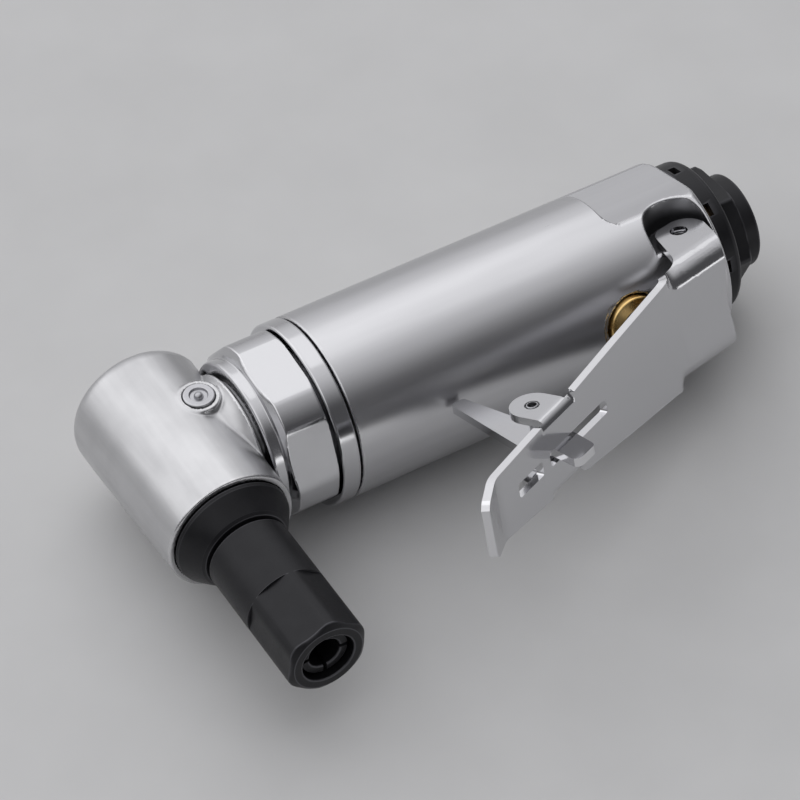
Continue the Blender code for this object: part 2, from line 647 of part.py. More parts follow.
def make_rotor(rotor_line):
    tongue_front, tongue_rear = COUPLING
    shaft_front = tongue_rear + PLAY
    front, rear = ROTOR
    profile = [(tongue_front, 0), (tongue_front, TONGUE_RADIUS), (shaft_front, TONGUE_RADIUS),
               (shaft_front, SHAFT_RADIUS), (front, SHAFT_RADIUS), (front, ROTOR_RADIUS),
               (rear, ROTOR_RADIUS), (rear, SHAFT_RADIUS), (SHAFT_END, SHAFT_RADIUS), (SHAFT_END, 0)]
    rotor = add_piece("rotor", turned(profile, 20), rotor_line, "ground_steel")
    sides = [block((tongue_front - 1, -6, TONGUE_HALF), (shaft_front, 6, 6)),
             block((tongue_front - 1, -6, -6), (shaft_front, 6, -TONGUE_HALF))]
    cut(rotor, joined(sides))
    slot = block((front - 1, VANE_FOOT - PLAY, -VANE_SLOT / 2), (rear + 1, ROTOR_RADIUS + 2, VANE_SLOT / 2))
    vane = block((front + 0.4, VANE_FOOT, -VANE_THICKNESS / 2), (rear - 0.4, VANE_TIP, VANE_THICKNESS / 2))
    turns = [Matrix.Rotation(math.tau * (index + 0.5) / VANE_COUNT, 4, "X") for index in range(VANE_COUNT)]
    cut(rotor, joined([moved(slot.copy(), matrix=turn) for turn in turns]))
    for index, turn in enumerate(turns):
        add_piece(f"vane_{index + 1}", moved(vane.copy(), matrix=turn), rotor_line, "vane_composite")


def tooth_ring(count, pitch_radius, cone, phase, reach):
    """Corners of every tooth of a bevel gear, at a share of the cone distance from the apex."""
    ring = []
    pitch = math.tau / count
    corners = ((-DEDENDUM, -ROOT_SHARE), (ADDENDUM, -TIP_SHARE),
               (ADDENDUM, TIP_SHARE), (-DEDENDUM, ROOT_SHARE))
    for tooth in range(count):
        for height, share in corners:
            radius = pitch_radius + height * math.cos(cone)
            along = pitch_radius / math.tan(cone) - height * math.sin(cone)
            angle = phase + (tooth + share) * pitch
            ring.append(Vector((along, radius * math.cos(angle), radius * math.sin(angle))) * reach)
    return ring


def matching_circle(ring, along, radius):
    """Circle whose points stand at the same angles as the corners of a tooth ring."""
    angles = [math.atan2(point.z, point.y) for point in ring]
    return [Vector((along, radius * math.cos(a), radius * math.sin(a))) for a in angles]


def make_bevel_gears(rotor_line, gear_line):
    cone = math.atan2(PINION_PITCH, GEAR_PITCH)
    large = tooth_ring(PINION_TEETH, PINION_PITCH, cone, 0, 1.0)
    small = tooth_ring(PINION_TEETH, PINION_PITCH, cone, 0, TOOTH_INNER_END)
    shaft_end = COUPLING[1]
    rings = [matching_circle(small, *PINION_NOSE), small, large]
    rings += [matching_circle(large, *step) for step in PINION_HUB]
    rings += [matching_circle(large, along, SHAFT_RADIUS) for along in (PINION_HUB[-1][0], shaft_end)]
    pinion = add_piece("bevel_pinion", loft(rings), rotor_line, "ground_steel")
    slot = TONGUE_HALF + PLAY
    cut(pinion, block((COUPLING[0] - PLAY, -6, -slot), (shaft_end + 1, 6, slot)))
    cone = math.atan2(GEAR_PITCH, PINION_PITCH)
    phase = math.pi + math.pi / GEAR_TEETH
    large = tooth_ring(GEAR_TEETH, GEAR_PITCH, cone, phase, 1.0)
    small = tooth_ring(GEAR_TEETH, GEAR_PITCH, cone, phase, TOOTH_INNER_END)
    bore = SPINDLE_RADIUS + PLAY
    rings = [matching_circle(small, GEAR_FACE, bore), small, large]
    rings += [matching_circle(large, *step) for step in GEAR_HUB]
    rings.append(matching_circle(large, GEAR_HUB[-1][0], bore))
    add_piece("bevel_gear", loft(rings, closed=True), gear_line, "ground_steel")


def make_head_bearings(tool, spindle_line):
    make_bearing("spindle_front_bearing", HEAD_BEARING, *SPINDLE_FRONT_BEARING, spindle_line)
    make_bearing("spindle_rear_bearing", REAR_BEARING, *SPINDLE_REAR_BEARING, spindle_line)
    make_bearing("pinion_front_bearing", SMALL_BEARING, *PINION_FRONT_BEARING, tool)
    make_bearing("pinion_rear_bearing", SMALL_BEARING, *PINION_REAR_BEARING, tool)
    spacer = tube(*PINION_SPACER_RADII, *PINION_SPACER, 16)
    add_piece("pinion_bearing_spacer", spacer, tool, "ground_steel")


def make_valve(valve_line):
    low, high = BUSH
    bore = PLUNGER_RADIUS + PLAY
    groove = SEAL_RADIUS + SEAL_WIRE + PLAY
    half = SEAL_WIRE + PLAY
    profile = [(low, bore), (low, BUSH_RADIUS - 0.4), (low + 0.4, BUSH_RADIUS), (high - 0.4, BUSH_RADIUS),
               (high, BUSH_RADIUS - 0.4), (high, bore + 0.5), (high - 0.5, bore), (SEAL_PLACE + half, bore),
               (SEAL_PLACE + half, groove), (SEAL_PLACE - half, groove), (SEAL_PLACE - half, bore)]
    add_piece("valve_bushing", turned(profile, 12), valve_line, "brass")
    seal = arc((SEAL_PLACE, SEAL_RADIUS), SEAL_WIRE, 0, 360, 6)[:-1]
    add_piece("plunger_seal", turned(seal, 12), valve_line, "rubber")
    bottom, top = PLUNGER_DISC
    dome = arc((PLUNGER_TOP - PLUNGER_RADIUS, 0), PLUNGER_RADIUS, 90, 0, 5)[:-1]
    length, guide = PLUNGER_GUIDE
    profile = [(bottom - length, 0), (bottom - length, guide), (bottom, guide), (bottom, PLUNGER_DISC_RADIUS),
               (top - 0.6, PLUNGER_DISC_RADIUS), (top, PLUNGER_DISC_RADIUS - 0.6), (top, PLUNGER_RADIUS)]
    profile += dome + [(PLUNGER_TOP, 0)]
    add_piece("valve_plunger", turned(profile, 12), valve_line, "ground_steel")
    make_coil("valve_spring", valve_line, VALVE_COIL)


def make_coil(name, parent, coil, legs=0.0):
    """Round wire wound along local X, with a straight leg at each end where one is asked for."""
    turns, start, end, radius = (coil[key] for key in ("turns", "start", "end", "radius"))
    points = []
    for step in range(turns * COIL_STEPS + 1):
        angle = math.tau * step / COIL_STEPS
        along = start + (end - start) * step / (turns * COIL_STEPS)
        points.append(Vector((along, radius * math.cos(angle), radius * math.sin(angle))))
    if legs:
        points.insert(0, points[0] + Vector((0, 0, -legs)))
        points.append(points[-1] + Vector((0, 0, legs)))
    curve = bpy.data.curves.new(name, "CURVE")
    curve.dimensions = "3D"
    curve.bevel_depth = coil["wire"] * MM
    curve.bevel_resolution = 0
    curve.use_fill_caps = True
    spline = curve.splines.new("POLY")
    spline.points.add(len(points) - 1)
    for knot, point in zip(spline.points, points):
        knot.co = (*(point * MM), 1.0)
    spring = bpy.data.objects.new(name, curve)
    bpy.context.scene.collection.objects.link(spring)
    spring.parent = parent
    paint(spring, "ground_steel")


def make_inlet(inlet_line):
    hex_front, hex_rear = INLET_HEX
    corner, rim, shank = INLET_HEX_CORNER, INLET_RIM, INLET_SHANK
    neck_end, neck = INLET_NECK
    profile = [(INLET_FRONT, INLET_BORE), (INLET_FRONT, shank - 0.4), (INLET_FRONT + 0.4, shank),
               (hex_front, shank), (hex_front, corner - 0.7), (hex_front + 0.5, corner),
               (hex_rear - 0.5, corner), (hex_rear, corner - 0.7), (hex_rear, neck), (neck_end, neck),
               (neck_end, rim - 0.5), (neck_end + 0.5, rim), (INLET_REAR - 0.5, rim), (INLET_REAR, rim - 0.5),
               (INLET_REAR, INLET_BORE + 0.5), (INLET_REAR - 0.5, INLET_BORE)]
    bushing = add_piece("inlet_bushing", turned(profile, 18), inlet_line, "black_oxide")
    cut(bushing, hex_ring(INLET_HEX_ACROSS, hex_front - 0.1, hex_rear + 0.1, INLET_HEX_TURN))
    front, rear = SCREEN
    screen = add_piece("inlet_screen", rod(INLET_SOCKET - PLAY, front, rear, 20), inlet_line, "brass")
    hole = rod(SCREEN_HOLE, front - 1, rear + 1, 6)
    places = [(0, 0)] + arc((0, 0), SCREEN_CIRCLE, 0, 300, 5)
    cut(screen, joined([moved(hole.copy(), (0, y, z)) for y, z in places]))
    make_exhaust(inlet_line)


def make_exhaust(inlet_line):
    front, rear = DEFLECTOR
    radius = DEFLECTOR_RADIUS
    wall = radius - DEFLECTOR_WALL
    floor = rear - DEFLECTOR_WALL
    hub = INLET_SOCKET + 0.1
    profile = [(front, wall), (front, radius - 0.4), (front + 0.4, radius), (rear - 1.2, radius),
               (rear, radius - 1.2), (rear, hub), (floor, hub), (floor, wall)]
    deflector = add_piece("exhaust_deflector", turned(profile, 22), inlet_line, "black_oxide")
    start, end, half = DEFLECTOR_SLOT
    slot = block((front + start, wall - 1.5, -half), (front + end, radius + 2, half))
    turns = [Matrix.Rotation(math.tau * index / DEFLECTOR_SLOTS, 4, "X") for index in range(DEFLECTOR_SLOTS)]
    cut(deflector, joined([moved(slot.copy(), matrix=turn) for turn in turns]))
    muffler = tube(wall - 0.5, MUFFLER_BORE, front + 0.4, floor - 0.4, 16)
    add_piece("exhaust_muffler", muffler, inlet_line, "bronze")


def along_arm(distance, height):
    """Point at this distance along the arm from the bend, and this height out from its outer face."""
    x, y = WEB_BEND
    return (x - distance * math.cos(ARM_SLOPE) + height * math.sin(ARM_SLOPE),
            y + distance * math.sin(ARM_SLOPE) + height * math.cos(ARM_SLOPE))


def across(radius, place, half, steps=16):
    """Rod through the lever plane at this place."""
    return moved(rod(radius, -half, half, steps), (*place, 0), Matrix.Rotation(math.pi / 2, 4, "Y"))


def eased_step(share):
    """Rises smoothly from 0 to 1."""
    share = np.clip(share, 0, 1)
    return share * share * (3 - 2 * share)


class LeverSheet:
    """The lever's blank, drawn flat as (distance from the rear edge, distance from the middle line)."""

    def __init__(self):
        corners = [(*WEB_REAR, 0), (*WEB_BEND, WEB_BEND_ROUND), (*along_arm(ARM_LENGTH, 0), TIP_ROUND),
                   (*TIP_BEND, 0), (*TIP, 0)]
        self.path = np.array(rounded(corners, closed=False))
        runs = np.linalg.norm(np.diff(self.path, axis=0), axis=1)
        self.travel = np.concatenate(([0], np.cumsum(runs)))
        self.bend = self.travel_at(WEB_BEND[0])
        self.tab = self.bend + LOCK_ALONG
        fold, radius = TAB_FOLD
        self.tab_hole = fold + radius * math.pi / 2 - LOCK_DROP - radius
        fold, radius = EAR_FOLD
        self.ear_hole = fold + radius * math.pi / 2 + EAR_HOLE[1] - radius

    def travel_at(self, x):
        """Distance along the sheet at this place along the motor axis."""
        return float(np.interp(-x, -self.path[:, 0], self.travel))

    def half_width(self, travel):
        places, halves = zip(*TIP_TAPER, *ARM_TAPER)
        return float(np.interp(np.interp(travel, self.travel, self.path[:, 0]), places, halves))

    def outline(self):
        end = self.travel[-1]
        tip_half = self.half_width(end) - (TIP_BEND[0] - TIP[0])
        side = [(end, 0), (end, tip_half)]
        side += [(self.travel_at(x), half) for x, half in TIP_TAPER]
        front, rear = self.tab + TAB_RADIUS, self.tab - TAB_RADIUS
        side.append((front, self.half_width(front)))
        side += arc((self.tab, self.tab_hole), TAB_RADIUS, 0, 180, 8)
        side.append((rear, self.half_width(rear)))
        side.append((self.travel_at(ARM_TAPER[1][0]), ARM_TAPER[1][1]))
        side += rounded(EAR_OUTLINE, closed=False)
        return side + [(travel, -width) for travel, width in side[-2:0:-1]]

    def holes(self):
        half = LOCK_SLOT_HALF
        slots = []
        for start, end in (LOCK_SLOT, TIP_SLOT):
            low, high = self.bend + start, self.bend + end
            slots.append([(low, -half), (high, -half), (high, half), (low, half)])
        for side in (-1, 1):
            slots.append(arc((EAR_HOLE[0], side * self.ear_hole), LEVER_PIN_RADIUS + PLAY, 0, 360, 12)[:-1])
            slots.append(arc((self.tab, side * self.tab_hole), LOCK_PIN_RADIUS + PLAY, 0, 360, 12)[:-1])
        return slots

    def flat(self):
        """The blank as a flat mesh, split along every line where it will bend."""
        bm = bmesh.new()
        for loop in [self.outline()] + self.holes():
            verts = [bm.verts.new((travel, width, 0)) for travel, width in loop]
            for pair in zip(verts, verts[1:] + verts[:1]):
                bm.edges.new(pair)
        bmesh.ops.triangle_fill(bm, use_beauty=True, use_dissolve=False, edges=bm.edges)
        splits = list(np.linspace(*EAR_FADE, 4))
        splits += [self.tab + side * fade for fade in TAB_FADE for side in (-1, 1)]
        splits += [travel for travel in self.travel[1:-1] if travel > self.tab]
        for travel in splits:
            self.split(bm, (travel, 0, 0), (1, 0, 0), (-math.inf, math.inf))
        tab_zone = (self.tab - TAB_FADE[1], self.tab + TAB_FADE[1])
        for (fold, radius), zone in ((EAR_FOLD, (-math.inf, EAR_FADE[1])), (TAB_FOLD, tab_zone)):
            for line in fold + np.linspace(0, radius * math.pi / 2, 4):
                for side in (-1, 1):
                    self.split(bm, (0, side * line, 0), (0, 1, 0), zone)
        bmesh.ops.remove_doubles(bm, verts=bm.verts, dist=0.12)
        return bm

    def split(self, bm, spot, normal, zone):
        """Cuts the flat blank along a line, where it lies in this zone of distances from the rear edge."""
        low, high = zone
        faces = [face for face in bm.faces if low < face.calc_center_median().x < high]
        edges = {edge for face in faces for edge in face.edges}
        verts = {vert for face in faces for vert in face.verts}
        geom = [*verts, *edges, *faces]
        bmesh.ops.bisect_plane(bm, geom=geom, dist=0.06, plane_co=spot, plane_no=normal)

    def on_path(self, travel):
        """Place on the outer face and the direction towards the tip, in the lever plane."""
        inside = np.clip(travel, 0, self.travel[-1])
        near, far = (np.clip(inside + step, 0, self.travel[-1]) for step in (-0.3, 0.3))
        spot, back, ahead = (np.stack([np.interp(t, self.travel, line) for line in self.path.T], 1)
                             for t in (inside, near, far))
        ahead -= back
        ahead /= np.linalg.norm(ahead, axis=1)[:, None]
        return spot + ahead * (travel - inside)[:, None], ahead

    def folded(self):
        """Bends the ears and the tabs down and moves the sheet so that the hinge is its origin."""
        bm = self.flat()
        travel, width, _ = np.array([vert.co for vert in bm.verts]).T
        rear = travel < (EAR_FADE[1] + self.tab) / 2
        fold, radius = (np.where(rear, ear, tab) for ear, tab in zip(EAR_FOLD, TAB_FOLD))
        from_tab = np.abs(travel - self.tab)
        ear_share = eased_step((EAR_FADE[1] - travel) / (EAR_FADE[1] - EAR_FADE[0]))
        tab_share = eased_step((TAB_FADE[1] - from_tab) / (TAB_FADE[1] - TAB_FADE[0]))
        most = np.where(rear, ear_share, tab_share) * math.pi / 2
        past = np.maximum(np.abs(width) - fold, 0)
        turn = np.minimum(past / radius, most)
        rest = past - turn * radius
        reach = np.minimum(np.abs(width), fold) + radius * np.sin(turn) + rest * np.cos(turn)
        drop = radius * (1 - np.cos(turn)) + rest * np.sin(turn)
        spot, ahead = self.on_path(travel)
        spot += np.stack((-ahead[:, 1], ahead[:, 0]), 1) * drop[:, None]
        for vert, (x, y), side in zip(bm.verts, spot - np.array(LEVER_PIN), np.sign(width) * reach):
            vert.co = Vector((x, y, side)) * MM
        bmesh.ops.recalc_face_normals(bm, faces=bm.faces)
        bm.normal_update()
        if max(bm.faces, key=lambda face: face.calc_area()).normal.y < 0:
            bmesh.ops.reverse_faces(bm, faces=bm.faces)
        return bm


def make_throttle_lever(lever_hinge):
    lever = add_piece("throttle_lever", LeverSheet().folded(), lever_hinge, "bright_chrome")
    thickness = lever.modifiers.new("Sheet", "SOLIDIFY")
    thickness.thickness = SHEET * MM
    thickness.offset = -1
    thickness.use_even_offset = True


def plain_pin(radius, half, bore=0.0):
    """Pin along local Z with chamfered ends, hollow where a bore is given."""
    edge = radius - PLAY
    profile = [(-half, bore), (-half, edge), (PLAY - half, radius), (half - PLAY, radius), (half, edge),
               (half, bore)]
    return moved(turned(profile, 12), matrix=Matrix.Rotation(math.pi / 2, 4, "Y"))


def make_lever_pin(lever_hinge):
    pin = plain_pin(LEVER_PIN_RADIUS, LEVER_PIN_HALF, LEVER_PIN_BORE)
    add_piece("lever_pin", pin, lever_hinge, "ground_steel")


def make_lock(lock_hinge, lock_pin_line, lock_place):
    bm = moved(plate(rounded(LOCK_OUTLINE), -LOCK_HALF, LOCK_HALF), (-lock_place[0], -lock_place[1], 0))
    lock = add_piece("lock_lever", bm, lock_hinge, "bright_chrome")
    cut(lock, across(LOCK_PIN_RADIUS + PLAY, (0, 0), 3, 12))
    add_piece("lock_pin", plain_pin(LOCK_PIN_RADIUS, LOCK_PIN_HALF), lock_pin_line, "ground_steel")
    spring_line = frame("lock_spring_line", lock_pin_line, turn=(0, -math.pi / 2, 0))
    make_coil("lock_spring", spring_line, LOCK_COIL, legs=2.0)


def seat_on_floor(root):
    """Puts the middle of the tool's lowest side at the world origin."""
    bpy.context.view_layer.update()
    graph = bpy.context.evaluated_depsgraph_get()
    corners = []
    for piece in bpy.context.scene.objects:
        if piece.type == "EMPTY" or piece.hide_render:
            continue
        shape = piece.evaluated_get(graph)
        mesh = shape.to_mesh()
        places = [shape.matrix_world @ vertex.co for vertex in mesh.vertices]
        corners += [np.min(places, axis=0), np.max(places, axis=0)]
        shape.to_mesh_clear()
    low, high = np.min(corners, axis=0), np.max(corners, axis=0)
    middle = (low + high) / 2
    root.location = (-middle[0], -middle[1], -low[2])


def main():
    for item in list(bpy.data.objects):
        bpy.data.objects.remove(item)
    tool = frame("tool")
    quarter = math.pi / 2
    spindle_line = frame("spindle_line", tool, turn=(0, 0, -quarter))
    gear_line = frame("gear_line", tool, turn=(0, 0, quarter))
    rotor_line = frame("rotor_line", tool)
    handle = frame("handle", tool, turn=(math.pi - LEVER_CLOCKING, 0, 0))
    valve_line = frame("valve_line", handle, (VALVE_PLACE, 0, 0), (0, 0, quarter))
    inlet_line = frame("inlet_line", handle, (0, INLET_OFFSET, 0))
    lever_hinge = frame("lever_hinge", handle, (*LEVER_PIN, 0))
    make_angle_head(tool, spindle_line)
    make_grease_fitting(tool)
    make_front_cap(spindle_line)
    make_spindle(spindle_line)
    make_collet(spindle_line)
    make_collet_nut(spindle_line)
    make_head_bearings(tool, spindle_line)
    make_bevel_gears(rotor_line, gear_line)
    make_clamp_nut(tool)
    make_clamp_ring(tool)
    make_neck_retaining_ring(tool)
    make_barrel(handle, valve_line, inlet_line)
    make_motor(handle)
    make_rotor(rotor_line)
    make_valve(valve_line)
    make_inlet(inlet_line)
    make_throttle_lever(lever_hinge)
    make_lever_pin(lever_hinge)
    lock_place = along_arm(LOCK_ALONG, LOCK_DROP)
    from_pin = (lock_place[0] - LEVER_PIN[0], lock_place[1] - LEVER_PIN[1], 0)
    lock_pin_line = frame("lock_pin_line", lever_hinge, from_pin)
    lock_hinge = frame("lock_hinge", lever_hinge, from_pin)
    make_lock(lock_hinge, lock_pin_line, lock_place)
    seat_on_floor(tool)


main()
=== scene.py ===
import json
import math

import bmesh
import bpy
import numpy as np
from mathutils import Matrix, Vector


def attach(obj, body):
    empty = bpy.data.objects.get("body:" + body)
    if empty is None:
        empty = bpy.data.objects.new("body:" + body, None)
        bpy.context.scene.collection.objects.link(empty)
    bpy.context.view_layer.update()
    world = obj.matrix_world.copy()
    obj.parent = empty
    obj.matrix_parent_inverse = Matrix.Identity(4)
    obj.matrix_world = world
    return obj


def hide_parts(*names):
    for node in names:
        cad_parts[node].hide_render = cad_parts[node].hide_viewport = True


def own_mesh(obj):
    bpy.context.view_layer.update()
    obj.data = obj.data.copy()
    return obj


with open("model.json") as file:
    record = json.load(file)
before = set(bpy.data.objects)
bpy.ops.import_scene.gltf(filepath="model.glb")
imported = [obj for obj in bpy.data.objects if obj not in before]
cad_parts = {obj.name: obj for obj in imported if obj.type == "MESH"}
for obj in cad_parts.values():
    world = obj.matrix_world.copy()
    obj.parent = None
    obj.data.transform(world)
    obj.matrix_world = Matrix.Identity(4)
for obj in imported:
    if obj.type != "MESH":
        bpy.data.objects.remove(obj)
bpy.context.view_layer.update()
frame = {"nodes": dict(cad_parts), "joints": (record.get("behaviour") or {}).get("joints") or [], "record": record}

mm = 0.001
joints = {joint["name"]: joint for joint in frame["joints"]}
crossing = np.array(joints["rotor_spin"]["pos_m"])      # where the motor axis meets the spindle axis
clocking = math.radians(18)                             # lever plane, turned about the motor axis
ahead, across, upward = np.eye(3)
outward = np.array((0, -math.cos(clocking), math.sin(clocking)))
sideways = np.array((0, -math.sin(clocking), -math.cos(clocking)))
leverPin = (107.3, 13.6)                                # along the motor axis, out from it
armStart = (97.45, 27.5)
armSlope = math.radians(27.3)
lockAlong, lockDrop = 44.9, 5.75                        # the lock's pin: along the arm, under its outer face


def alongArm(distance, height):
    return (armStart[0] - distance * math.cos(armSlope) + height * math.sin(armSlope),
            armStart[1] + distance * math.sin(armSlope) + height * math.cos(armSlope))


lockPin = alongArm(lockAlong, -lockDrop)
bossPlace = (6.0, 2.7)
valvePlace = 92.0
inletDrop = 2.5
axes = {                                                # start, along, first, second
    "motor": (0 * ahead, ahead, across, upward),
    "spindle": (0 * ahead, -across, ahead, upward),
    "boss": (bossPlace[0] * ahead + bossPlace[1] * across, upward, ahead, across),
    "valve": (valvePlace * ahead, outward, ahead, sideways),
    "inlet": (-inletDrop * outward, ahead, outward, sideways),
    "leverPin": (leverPin[0] * ahead + leverPin[1] * outward, sideways, ahead, outward),
    "lockPin": (lockPin[0] * ahead + lockPin[1] * outward, sideways, ahead, outward),
}


# node trees: a socket that can be reckoned with, and a tree that takes any node

class Wire:
    def __init__(self, graph, socket):
        self.graph = graph
        self.socket = socket

    def calc(self, operation, first, second):
        return self.graph.add("ShaderNodeMath", {"operation": operation}, {0: first, 1: second})

    def __add__(self, other):
        return self.calc("ADD", self, other)

    def __sub__(self, other):
        return self.calc("SUBTRACT", self, other)

    def __rsub__(self, other):
        return self.calc("SUBTRACT", other, self)

    def __mul__(self, other):
        return self.calc("MULTIPLY", self, other)

    def __pow__(self, other):
        return self.calc("POWER", self, other)

    __radd__ = __add__
    __rmul__ = __mul__


class Graph:
    def __init__(self, tree):
        self.tree = tree

    def add(self, kind, settings=None, sockets=None, output=0):
        node = self.tree.nodes.new(kind)
        for key, value in (settings or {}).items():
            setattr(node, key, value)
        for key, value in (sockets or {}).items():
            self.feed(node.inputs[key], value)
        return Wire(self, node.outputs[output])

    def feed(self, socket, value):
        if isinstance(value, Wire):
            self.tree.links.new(value.socket, socket)
        else:
            socket.default_value = value

    def blend(self, first, second, factor):
        return self.add("ShaderNodeMix", {"data_type": "RGBA"}, {0: factor, 6: first, 7: second}, output=2)


class Finish(Graph):
    def __init__(self, name):
        self.material = bpy.data.materials.new(name)
        self.material.use_nodes = True
        super().__init__(self.material.node_tree)
        self.shader = self.tree.nodes["Principled BSDF"]
        self.place = self.add("ShaderNodeTexCoord", output="Object")

    def noise(self, scale, detail=2.0, stretch=(1, 1, 1), contrast=(0.3, 0.7)):
        spot = self.add("ShaderNodeMapping", {}, {"Vector": self.place, "Scale": stretch})
        grain = self.add("ShaderNodeTexNoise", {}, {"Vector": spot, "Scale": scale, "Detail": detail})
        return self.add("ShaderNodeMapRange", {}, {0: grain, 1: contrast[0], 2: contrast[1]})

    def marked(self, name):
        return self.add("ShaderNodeAttribute", {"attribute_name": name}, output="Fac")

    def between(self, dark, light, factor):
        return self.blend((*dark, 1), (*light, 1), factor)

    def bump(self, height, depth):
        return self.add("ShaderNodeBump", {}, {"Height": height, "Distance": depth, "Strength": 1.0})

    def give(self, **sockets):
        names = {"color": "Base Color", "roughness": "Roughness", "metallic": "Metallic", "normal": "Normal"}
        for key, value in sockets.items():
            self.feed(self.shader.inputs[names[key]], value)
        return self.material


# finishes

def satinAluminium(name, streaks):
    finish = Finish(name)
    cast = finish.noise(170, 4)
    streak = finish.noise(260, 3, streaks, (0.35, 0.65))
    blast = finish.noise(4200, 2)
    edge = finish.marked("edge")
    shade = cast * 0.25 + streak * 0.45 + edge * 0.6
    return finish.give(color=finish.between((0.50, 0.50, 0.51), (0.67, 0.67, 0.68), shade), metallic=1.0,
                       roughness=0.36 - streak * 0.06 + blast * 0.05 - edge * 0.14,
                       normal=finish.bump(blast * 0.4 + cast * 0.8 + streak * 0.5, 0.000012))


def satinBarrel(name, streaks):
    finish = Finish(name)
    streak = finish.noise(160, 3, streaks, (0.3, 0.7))
    grain = finish.noise(1500, 1, streaks, (0.0, 1.0))
    smudge = finish.noise(60, 2, contrast=(0.1, 0.9))
    edge, hollow = finish.marked("edge"), finish.marked("hollow")
    plain = finish.between((0.52, 0.52, 0.535), (0.66, 0.66, 0.675), streak * 0.5 + edge * 0.5)
    # painted shade: near black colour in the pockets marked 'hollow'
    pocketShaded = finish.blend(plain, (0.05, 0.05, 0.055, 1), hollow * 0.9)
    return finish.give(color=pocketShaded, metallic=1.0,
                       roughness=0.25 + smudge * 0.06 + grain * 0.04 - edge * 0.10 + hollow * 0.2,
                       normal=finish.bump(grain, 0.000002))


def brightChrome(name):
    finish = Finish(name)
    smudge = finish.noise(120, 5, contrast=(0.35, 0.75))
    hairline = finish.noise(900, 2, (1, 14, 14), (0.55, 0.75))
    edge = finish.marked("edge") ** 4
    # painted highlight: marked edges and sheared rims turn lighter
    shade = edge * 0.8 + hairline * 0.15
    return finish.give(color=finish.between((0.56, 0.56, 0.575), (0.76, 0.76, 0.775), shade), metallic=1.0,
                       roughness=0.10 + smudge * 0.08 + hairline * 0.05,
                       normal=finish.bump(smudge * 0.3 + hairline * 0.2, 0.000003))


def blackOxide(name):
    finish = Finish(name)
    bloom = finish.noise(150, 5)
    tooling = finish.noise(2400, 2)
    edge = finish.marked("edge")
    shade = bloom * 0.08 + edge * 0.75
    return finish.give(color=finish.between((0.009, 0.009, 0.011), (0.12, 0.12, 0.13), shade),
                       metallic=0.5 + edge * 0.35, roughness=0.33 + bloom * 0.12 + tooling * 0.06,
                       normal=finish.bump(tooling * 0.6 + bloom * 0.6, 0.000008))


def turnedBrass(name):
    finish = Finish(name)
    tarnish = finish.noise(240, 4)
    turning = finish.noise(2400, 2)
    return finish.give(color=finish.between((0.80, 0.50, 0.16), (0.94, 0.68, 0.30), tarnish), metallic=1.0,
                       roughness=0.20 + tarnish * 0.12 + turning * 0.05,
                       normal=finish.bump(turning, 0.000006))


def groundSteel(name):
    finish = Finish(name)
    patch = finish.noise(200, 4)
    grind = finish.noise(1800, 2, (1, 9, 9))
    edge = finish.marked("edge")
    return finish.give(color=finish.between((0.42, 0.42, 0.44), (0.62, 0.62, 0.64), patch * 0.5 + edge * 0.5),
                       metallic=1.0, roughness=0.24 + grind * 0.14, normal=finish.bump(grind, 0.000005))


def sinteredBronze(name):
    finish = Finish(name)
    pores = finish.add("ShaderNodeTexVoronoi", {}, {"Vector": finish.place, "Scale": 2600.0})
    stain = finish.noise(300, 3)
    shade = stain * 0.4 + pores * 0.7
    return finish.give(color=finish.between((0.16, 0.10, 0.05), (0.48, 0.33, 0.17), shade), metallic=0.8,
                       roughness=0.50 + stain * 0.15, normal=finish.bump(pores, 0.00006))


def sealRubber(name):
    finish = Finish(name)
    bloom = finish.noise(500, 4)
    return finish.give(color=finish.between((0.012, 0.012, 0.012), (0.035, 0.034, 0.033), bloom),
                       roughness=0.55 + bloom * 0.2, normal=finish.bump(bloom, 0.00001))


def vaneLaminate(name):
    finish = Finish(name)
    ply = finish.noise(900, 3, (0.2, 3, 3))
    fleck = finish.noise(3200, 2)
    return finish.give(color=finish.between((0.12, 0.06, 0.025), (0.33, 0.20, 0.09), ply * 0.7 + fleck * 0.3),
                       roughness=0.50 + fleck * 0.18, normal=finish.bump(ply + fleck * 0.4, 0.00002))


finishes = {                                            # by the record's material slots
    "satin_aluminium": satinAluminium("headAluminium", (1, 0.10, 1)),
    "satin_barrel": satinBarrel("barrelSatin", (0.08, 1, 1)),
    "bright_chrome": brightChrome("chrome"),
    "black_oxide": blackOxide("blackOxide"),
    "brass": turnedBrass("brass"),
    "ground_steel": groundSteel("steel"),
    "bronze": sinteredBronze("bronze"),
    "rubber": sealRubber("rubber"),
    "vane_composite": vaneLaminate("vane"),
}
nodeSlots = {part["node"]: part["material_slot"] for part in frame["record"]["subparts"]}
nodeBodies = {node: body for body, nodes in frame["record"]["behaviour"]["bodies"].items() for node in nodes}
for name, node in frame["nodes"].items():
    node.data.materials.clear()
    node.data.materials.append(finishes[nodeSlots[name]])
print("finishes:", len(finishes), "on", len(frame["nodes"]), "nodes")


# mesh helpers, in millimetres from the crossing of the two axes

probe = 0.02                                            # reach of a slope measurement
leastGap = 0.05                                         # between the middles of two faces
wearGlintStart, wearGlintRange = 0.4, 2.2                         # turn for each millimetre at which an edge shows wear and a painted highlight
sharpAngle = math.radians(38)
holdBack = 0.1                                          # from a corner to the point that keeps a flat flat
hexEase = 0.35                                          # width over which a flat meets the round
leastSlope, mostShift = 0.2, 0.3                        # limits while points settle on a surface


def edgeTurn(mesh):
    bm = bmesh.new()
    bm.from_mesh(mesh)
    bend = np.zeros(len(bm.verts))
    for edge in bm.edges:
        if len(edge.link_faces) != 2:
            continue
        first, second = edge.link_faces
        gap = (first.calc_center_median() - second.calc_center_median()).length
        sharp = edge.calc_face_angle_signed(0.0) / max(gap / mm, leastGap)    # convex turn for a millimetre
        for vert in edge.verts:
            bend[vert.index] = max(bend[vert.index], sharp)
    bm.free()
    return bend


